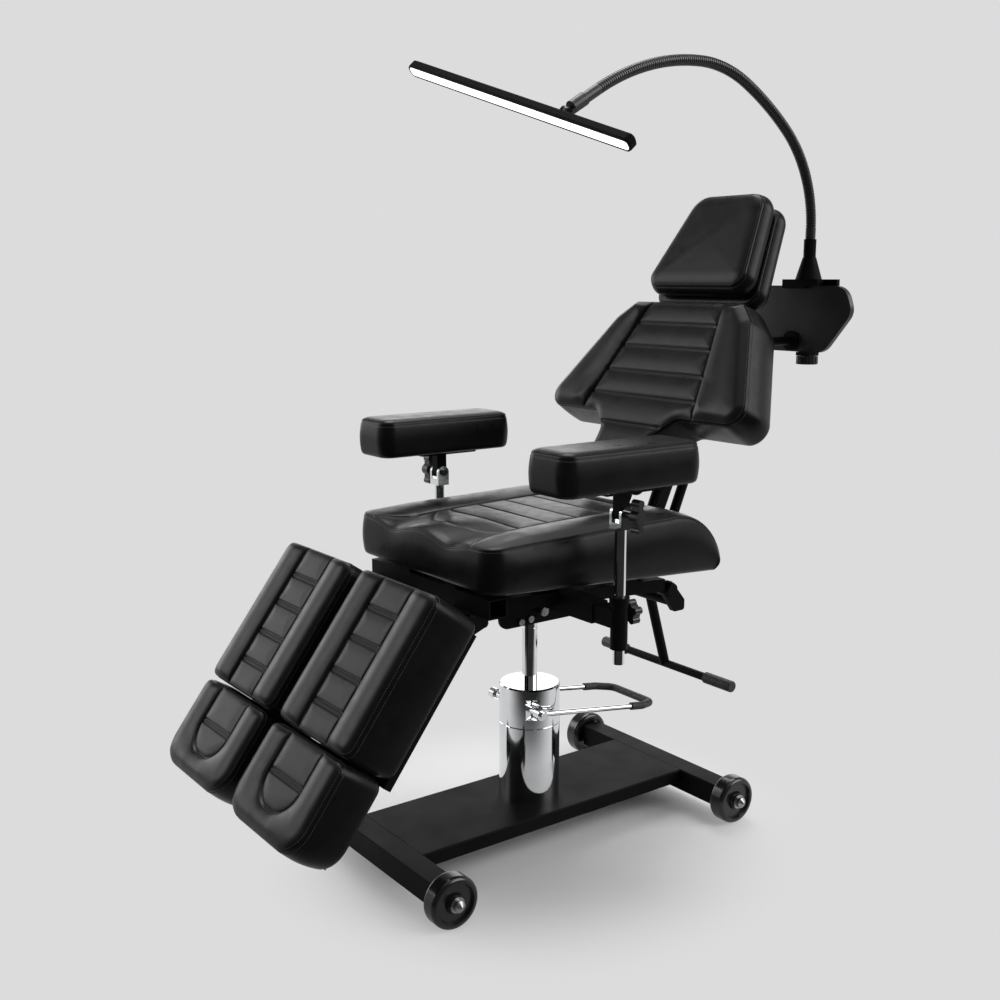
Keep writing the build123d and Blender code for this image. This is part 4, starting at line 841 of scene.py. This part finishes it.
def make_back():
    place = Flat(back_origin, back_angle)
    loop = rounded_loop(both_halves(back_half_outline), both_rounds(back_rounds), outline_step)
    seams = []
    for s in (-1, 1):
        ends = [(s * x, y) for x, y in (back_seam_top, back_seam_low)]
        seams.append(Seam(ends, back_side_seam, (-s,)))
    rows = [(y, back_seam_at(y)) for y in back_channels] + [(back_lower_channel, back_lower_half)]
    for y, half in rows:
        seams.append(Seam([(-half, y), (half, y)], back_row_seam))
    bulge = back_bulge * np.clip((loop[:, 1] - tongue_taper_top) / back_bulge_run, 0, 1)
    upholster("back_upholstery", "back", "back_cushion", place, loop, back_height, back_depth_at, bulge, seams)


def make_head():
    """The pillow, and the thinner cushion behind it."""
    place = Flat(head_origin, head_angle)
    loop = rounded_loop(both_halves(pillow_half_outline), both_rounds(head_rounds), outline_step)
    upholster("head_pillow_upholstery", "head", "head_pillow", place, loop, crowned(head_crown, *head_form),
              plain_depth(head_layer), head_bulge)
    half_crown = head_crown / 2
    lower = Flat(place.world(np.array([[0, 0, -head_layer - half_crown]]))[0], head_angle)
    loop = rounded_loop(both_halves(head_half_outline), both_rounds(head_rounds), outline_step)
    upholster("head_cushion_upholstery", "head", "head_cushion", lower, loop, crowned(half_crown, *head_form),
              plain_depth(head_layer - half_crown), head_bulge)


def make_arm_pads():
    half = (pad_rear - pad_front) / 2
    wide = pad_half_width
    corners = ((wide, -half), (wide, half), (-wide, half), (-wide, -half))
    loop = rounded_loop(corners, [pad_round] * len(corners), outline_step)
    place = Flat((pad_x, (pad_front + pad_rear) / 2, pad_seam_top), 0)
    for side in ("left", "right"):
        name = side + "_arm_pad"
        upholster(name + "_upholstery", side + "_pad", name, place, loop, crowned(pad_crown, *pad_form),
                  plain_depth(pad_depth), pad_bulge, flip=side == "right")


def leg_loop(start, end, top_round, low_round):
    wide = leg_half_width
    corners = ((wide, -end), (wide, -start), (-wide, -start), (-wide, -end))
    return rounded_loop(corners, (low_round, top_round, top_round, low_round), outline_step)


def leg_bulges(loop, ends):
    """How far a leg cushion's boxing swells: less at the ends that face another cushion."""
    bulge = np.full(len(loop), leg_bulge)
    for y, at_end in ends:
        share = np.clip(np.abs(loop[:, 1] - y) / leg_bulge_run, 0, 1)
        bulge = np.minimum(bulge, at_end + (leg_bulge - at_end) * share)
    return bulge


def double_crease(half, y):
    """A sewn channel across a leg's panel: two creases with a narrow roll between them."""
    return [Seam([(-half, y + s * channel_gap), (half, y + s * channel_gap)], double_seam) for s in (-1, 1)]


def leg_height(puff, edge):
    """A leg cushion's height: its crown with the puff of its bolsters and panel on it."""
    return leg_crown * edge_curve(edge, leg_crown_run) + puff * edge_curve(edge, leg_puff_run)


def calf_height(x, y, edge, gaps):
    sides = np.minimum(gaps[0], gaps[1])
    rows = np.minimum.reduce(gaps[2:])
    across = leg_half_width - np.abs(x)
    return leg_height(puffed(np.abs(x) > calf_panel, sides, across, np.minimum(sides, rows), calf_puff), edge)


def foot_height(x, y, edge, gaps):
    """The foot cushion's bolster runs round a panel with a round lower end."""
    low = -foot_start - foot_panel_length
    bend = foot_panel_bend
    cx = np.clip(np.abs(x) - (foot_panel - bend), 0, None)
    cy = np.clip((low + bend) - y, 0, None)
    outside = (np.hypot(cx, cy) > bend) | (np.abs(x) > foot_panel) | (y < low)
    across = np.minimum(leg_half_width - np.abs(x), y + foot_end)
    return leg_height(puffed(outside, gaps[0], across, np.minimum(gaps[0], gaps[1]), foot_puff), edge)


def make_legs(part, loop, height, depth, bulge, seams):
    """The left and right cushion of one part of the legs, each on its own body."""
    place = Flat((leg_x, leg_y, leg_z), leg_angle)
    for side in ("left", "right"):
        body = side + ("_leg" if part == "calf" else "_foot")
        upholster(side + "_" + part + "_upholstery", body, side + "_" + part + "_cushion", place, loop,
                  height, plain_depth(depth), bulge, seams, flip=side == "right")


def make_calves():
    loop = leg_loop(calf_start, calf_end, calf_round, calf_round)
    seams = []
    for s in (-1, 1):
        seams.append(Seam([(s * calf_panel, -calf_end), (s * calf_panel, -calf_start)], panel_seam, (s,)))
    for y in calf_channels:
        seams += double_crease(calf_panel, -y)
    bulge = leg_bulges(loop, ((-calf_start, leg_top_bulge), (-calf_end, leg_end_bulge)))
    make_legs("calf", loop, calf_height, calf_depth, bulge, seams)


def make_feet():
    loop = leg_loop(foot_start, foot_end, foot_top_round, foot_low_round)
    wide = foot_panel
    low = -foot_start - foot_panel_length
    corners = ((wide, -foot_start), (wide, low), (-wide, low), (-wide, -foot_start))
    line = rounded_loop(corners, [foot_panel_bend] * len(corners), outline_step, closed=False)
    seams = [Seam(line, panel_seam, (1, -1)), *double_crease(wide, -foot_start - foot_channel)]
    bulge = leg_bulges(loop, ((-foot_start, leg_end_bulge),))
    make_legs("foot", loop, foot_height, foot_depth, bulge, seams)


def seat_seam_at(y):
    """How far the bolsters' seams are from the middle of the seat."""
    return seat_panel + np.interp(y, *zip(*seat_seam_flare))


def seat_height(x, y, edge, gaps):
    """The seat's form above its profile: raised bolsters, a quilted panel and two thigh dips in front."""
    z = -seat_edge_drop + (seat_edge_drop + seat_crown) * edge_curve(edge, seat_crown_run)
    sides = np.minimum(gaps[0], gaps[1])
    rows = np.minimum.reduce(gaps[2:])
    bolster = np.abs(x) > seat_seam_at(y)
    rear = np.clip((bolster_end - y) / bolster_run, 0, 1)
    front = np.clip((y - bolster_start) / bolster_run, 0, 1)
    puff = puffed(bolster, sides, edge, np.minimum(sides, rows), seat_puff) * np.where(bolster, rear * front, 1)
    dip = thigh_dip * np.exp(-(((np.abs(x) - thigh_place) / thigh_width) ** 2))
    dip = dip - front_hump * np.exp(-((x / front_hump_width) ** 2))
    return z + puff * np.clip(edge / seat_puff_run, 0, 1) - dip * np.exp(-((y / thigh_reach) ** 2))


def make_seat():
    place = SeatTop()
    end = place.length
    wide = seat_half_width
    half = notch_half_width
    corners = [(wide, 0), (wide, end), (half, end), (half, place.notch)]
    corners = [(-wide, 0), *corners, (-half, place.notch), (-half, end), (-wide, end)]
    big, small = seat_corner_round, notch_round
    rounds = (big, big, seat_end_round, small, small, small, small, seat_end_round)
    loop = rounded_loop(corners, rounds, outline_step)
    side = seat_panel
    seams = []
    for s in (-1, 1):
        points = [(s * (side + out), y) for y, out in seat_seam_flare] + [(s * side, seat_panel_end)]
        seams.append(Seam(curve_through(points), panel_seam, (s,)))
    for y in seat_channel_places:
        seams.append(Seam([(-side, y), (side, y)], seat_row_seam))
    seams.append(Seam(curve_through([(side * share, y) for share, y in seat_arch]), seat_arch_seam))

    def below(rings):
        """The boxing between the edge seam and the seat's underside, which slopes to the rear."""
        heights = face_heights(loop, loop, seams, seat_height)
        top = place.world(np.column_stack([loop, heights]))
        low_y = np.minimum(top[:, 1], seat_low_end[0])
        slope = (seat_low_end[1] - seat_low_front[1]) / (seat_low_end[0] - seat_low_front[0])
        low_z = seat_low_front[1] + slope * (low_y - seat_low_front[0])
        base = np.column_stack([top[:, 0], low_y, low_z])
        into = inward(loop)
        inwards = (place.world(np.column_stack([loop + into * probe, heights])) - top) / probe
        inwards[:, 2] = 0
        made = []
        for ring in rings:
            share = -ring[:, 2][:, None] / seat_depth
            pull = ((ring[:, :2] - loop) * into).sum(1)[:, None]
            made.append(top + (base - top) * share + inwards * pull)
        return np.vstack(made)

    bulge = seat_front_bulge + (seat_bulge - seat_front_bulge) * np.clip(loop[:, 1] / seat_bulge_run, 0, 1)
    upholster("seat_upholstery", "seat", "seat_cushion", place, loop, seat_height,
              plain_depth(seat_depth), bulge, seams, below=below)


make_seat()
make_back()
make_head()
make_arm_pads()
make_calves()
make_feet()


# Floor, background, lamps and camera

def grey(shade):
    return (shade, shade, shade, 1)


def arithmetic(tree, operation, first, second):
    node = tree.nodes.new("ShaderNodeMath")
    node.operation = operation
    for socket, value in zip(node.inputs, (first, second)):
        if isinstance(value, (int, float)):
            socket.default_value = value
        else:
            link(tree, value, socket)
    return node.outputs["Value"]


def between(tree, source, low, high, at_low, at_high):
    """A smooth change from one value to another as the source goes from low to high."""
    ramp = tree.nodes.new("ShaderNodeMapRange")
    ramp.interpolation_type = "SMOOTHSTEP"
    for key, value in zip(("From Min", "From Max", "To Min", "To Max"), (low, high, at_low, at_high)):
        ramp.inputs[key].default_value = value
    link(tree, source, ramp.inputs["Value"])
    return ramp.outputs["Result"]


def towards(tree, direction, heading):
    """The dot product of a vector and the direction of a heading."""
    node = tree.nodes.new("ShaderNodeVectorMath")
    node.operation = "DOT_PRODUCT"
    node.inputs[1].default_value = Vector(heading).normalized()
    link(tree, direction, node.inputs[0])
    return node.outputs["Value"]


def mirrored_rays(tree, path):
    """1 for glossy and transmission rays and 0 for the others."""
    return arithmetic(tree, "MAXIMUM", path.outputs["Is Glossy Ray"], path.outputs["Is Transmission Ray"])


def make_floor():
    """A floor that is lit under the chair and shows the backdrop's shade further out."""
    mesh = bpy.data.meshes.new("floor")
    half = floor_half
    corners = [(-half, -half, 0), (half, -half, 0), (half, half, 0), (-half, half, 0)]
    mesh.from_pydata(corners, [], [(0, 1, 2, 3)])
    floor = bpy.data.objects.new("floor", mesh)
    bpy.context.scene.collection.objects.link(floor)
    material = bpy.data.materials.new("floor")
    material.use_nodes = True
    tree = material.node_tree
    tree.nodes.clear()
    out = tree.nodes.new("ShaderNodeOutputMaterial")
    matt = tree.nodes.new("ShaderNodeBsdfDiffuse")
    matt.inputs["Color"].default_value = grey(floor_colour)
    glow = tree.nodes.new("ShaderNodeEmission")
    glow.inputs["Color"].default_value = grey(background_shade)
    mix = tree.nodes.new("ShaderNodeMixShader")
    place = tree.nodes.new("ShaderNodeNewGeometry").outputs["Position"]
    length = tree.nodes.new("ShaderNodeVectorMath")
    length.operation = "LENGTH"
    link(tree, place, length.inputs[0])
    fade = between(tree, length.outputs["Value"], floor_fade_start, floor_fade_end, 0, 1)
    turn = radians(camera_azimuth)
    front = between(tree, towards(tree, place, (sin(turn), -cos(turn), 0)), front_near, front_far, 0, 1)
    path = tree.nodes.new("ShaderNodeLightPath")
    front = arithmetic(tree, "MULTIPLY", mirrored_rays(tree, path), front)
    dim = arithmetic(tree, "MULTIPLY", front, 1 - front_shade)
    link(tree, arithmetic(tree, "SUBTRACT", 1, dim), glow.inputs["Strength"])
    link(tree, arithmetic(tree, "MAXIMUM", fade, front), mix.inputs["Fac"])
    link(tree, matt.outputs["BSDF"], mix.inputs[1])
    link(tree, glow.outputs["Emission"], mix.inputs[2])
    link(tree, mix.outputs["Shader"], out.inputs["Surface"])
    mesh.materials.append(material)


def make_world():
    """A studio: a pale backdrop round it, soft boxes above and a darker room on the camera's side."""
    world = bpy.data.worlds.new("studio")
    bpy.context.scene.world = world
    world.use_nodes = True
    tree = world.node_tree
    tree.nodes.clear()
    out = tree.nodes.new("ShaderNodeOutputWorld")
    pale = tree.nodes.new("ShaderNodeBackground")
    pale.inputs["Color"].default_value = grey(background_shade)
    studio = tree.nodes.new("ShaderNodeBackground")
    direction = tree.nodes.new("ShaderNodeTexCoord").outputs["Generated"]
    turn = radians(camera_azimuth)
    away = towards(tree, direction, (-sin(turn), cos(turn), 0))
    far_side = between(tree, away, room_start, backdrop_side_end, 0, 1)
    light = between(tree, away, room_start, room_end, behind_camera_shade, room_shade)
    for heading, angle, strength in soft_boxes:
        facing = towards(tree, direction, heading)
        box = between(tree, facing, cos(radians(angle)), cos(radians(angle * box_core)), 0, strength)
        light = arithmetic(tree, "ADD", light, box)
    low = between(tree, towards(tree, direction, (0, 0, 1)), backdrop_top, backdrop_fade, 1, 0)
    path = tree.nodes.new("ShaderNodeLightPath")
    backdrop = arithmetic(tree, "MULTIPLY", low, far_side)
    shiny = arithmetic(tree, "MULTIPLY", mirrored_rays(tree, path), backdrop)
    shown = arithmetic(tree, "MULTIPLY", shiny, background_shade)
    link(tree, arithmetic(tree, "MAXIMUM", light, shown), studio.inputs["Strength"])
    mix = tree.nodes.new("ShaderNodeMixShader")
    link(tree, path.outputs["Is Camera Ray"], mix.inputs["Fac"])
    link(tree, studio.outputs["Background"], mix.inputs[1])
    link(tree, pale.outputs["Background"], mix.inputs[2])
    link(tree, mix.outputs["Shader"], out.inputs["Surface"])


def add_sun(name, turn, strength, angle):
    lamp = bpy.data.lights.new(name, "SUN")
    lamp.energy = strength
    lamp.angle = radians(angle)
    sun = bpy.data.objects.new(name, lamp)
    sun.rotation_euler = [radians(t) for t in turn]
    bpy.context.scene.collection.objects.link(sun)


def make_camera():
    data = bpy.data.cameras.new("camera")
    data.sensor_width = sensor_width
    data.lens = camera_lens
    data.clip_end = camera_reach
    camera = bpy.data.objects.new("camera", data)
    turn, rise = radians(camera_azimuth), radians(camera_pitch)
    back = Vector((sin(turn) * cos(rise), -cos(turn) * cos(rise), sin(rise)))
    camera.location = camera_place
    camera.rotation_mode = "QUATERNION"
    camera.rotation_quaternion = (-back).to_track_quat("-Z", "Y")
    bpy.context.scene.collection.objects.link(camera)
    bpy.context.scene.camera = camera


make_floor()
make_world()
add_sun("key", key_turn, key_strength, key_angle)
make_camera()
bpy.context.scene.view_settings.view_transform = "Standard"
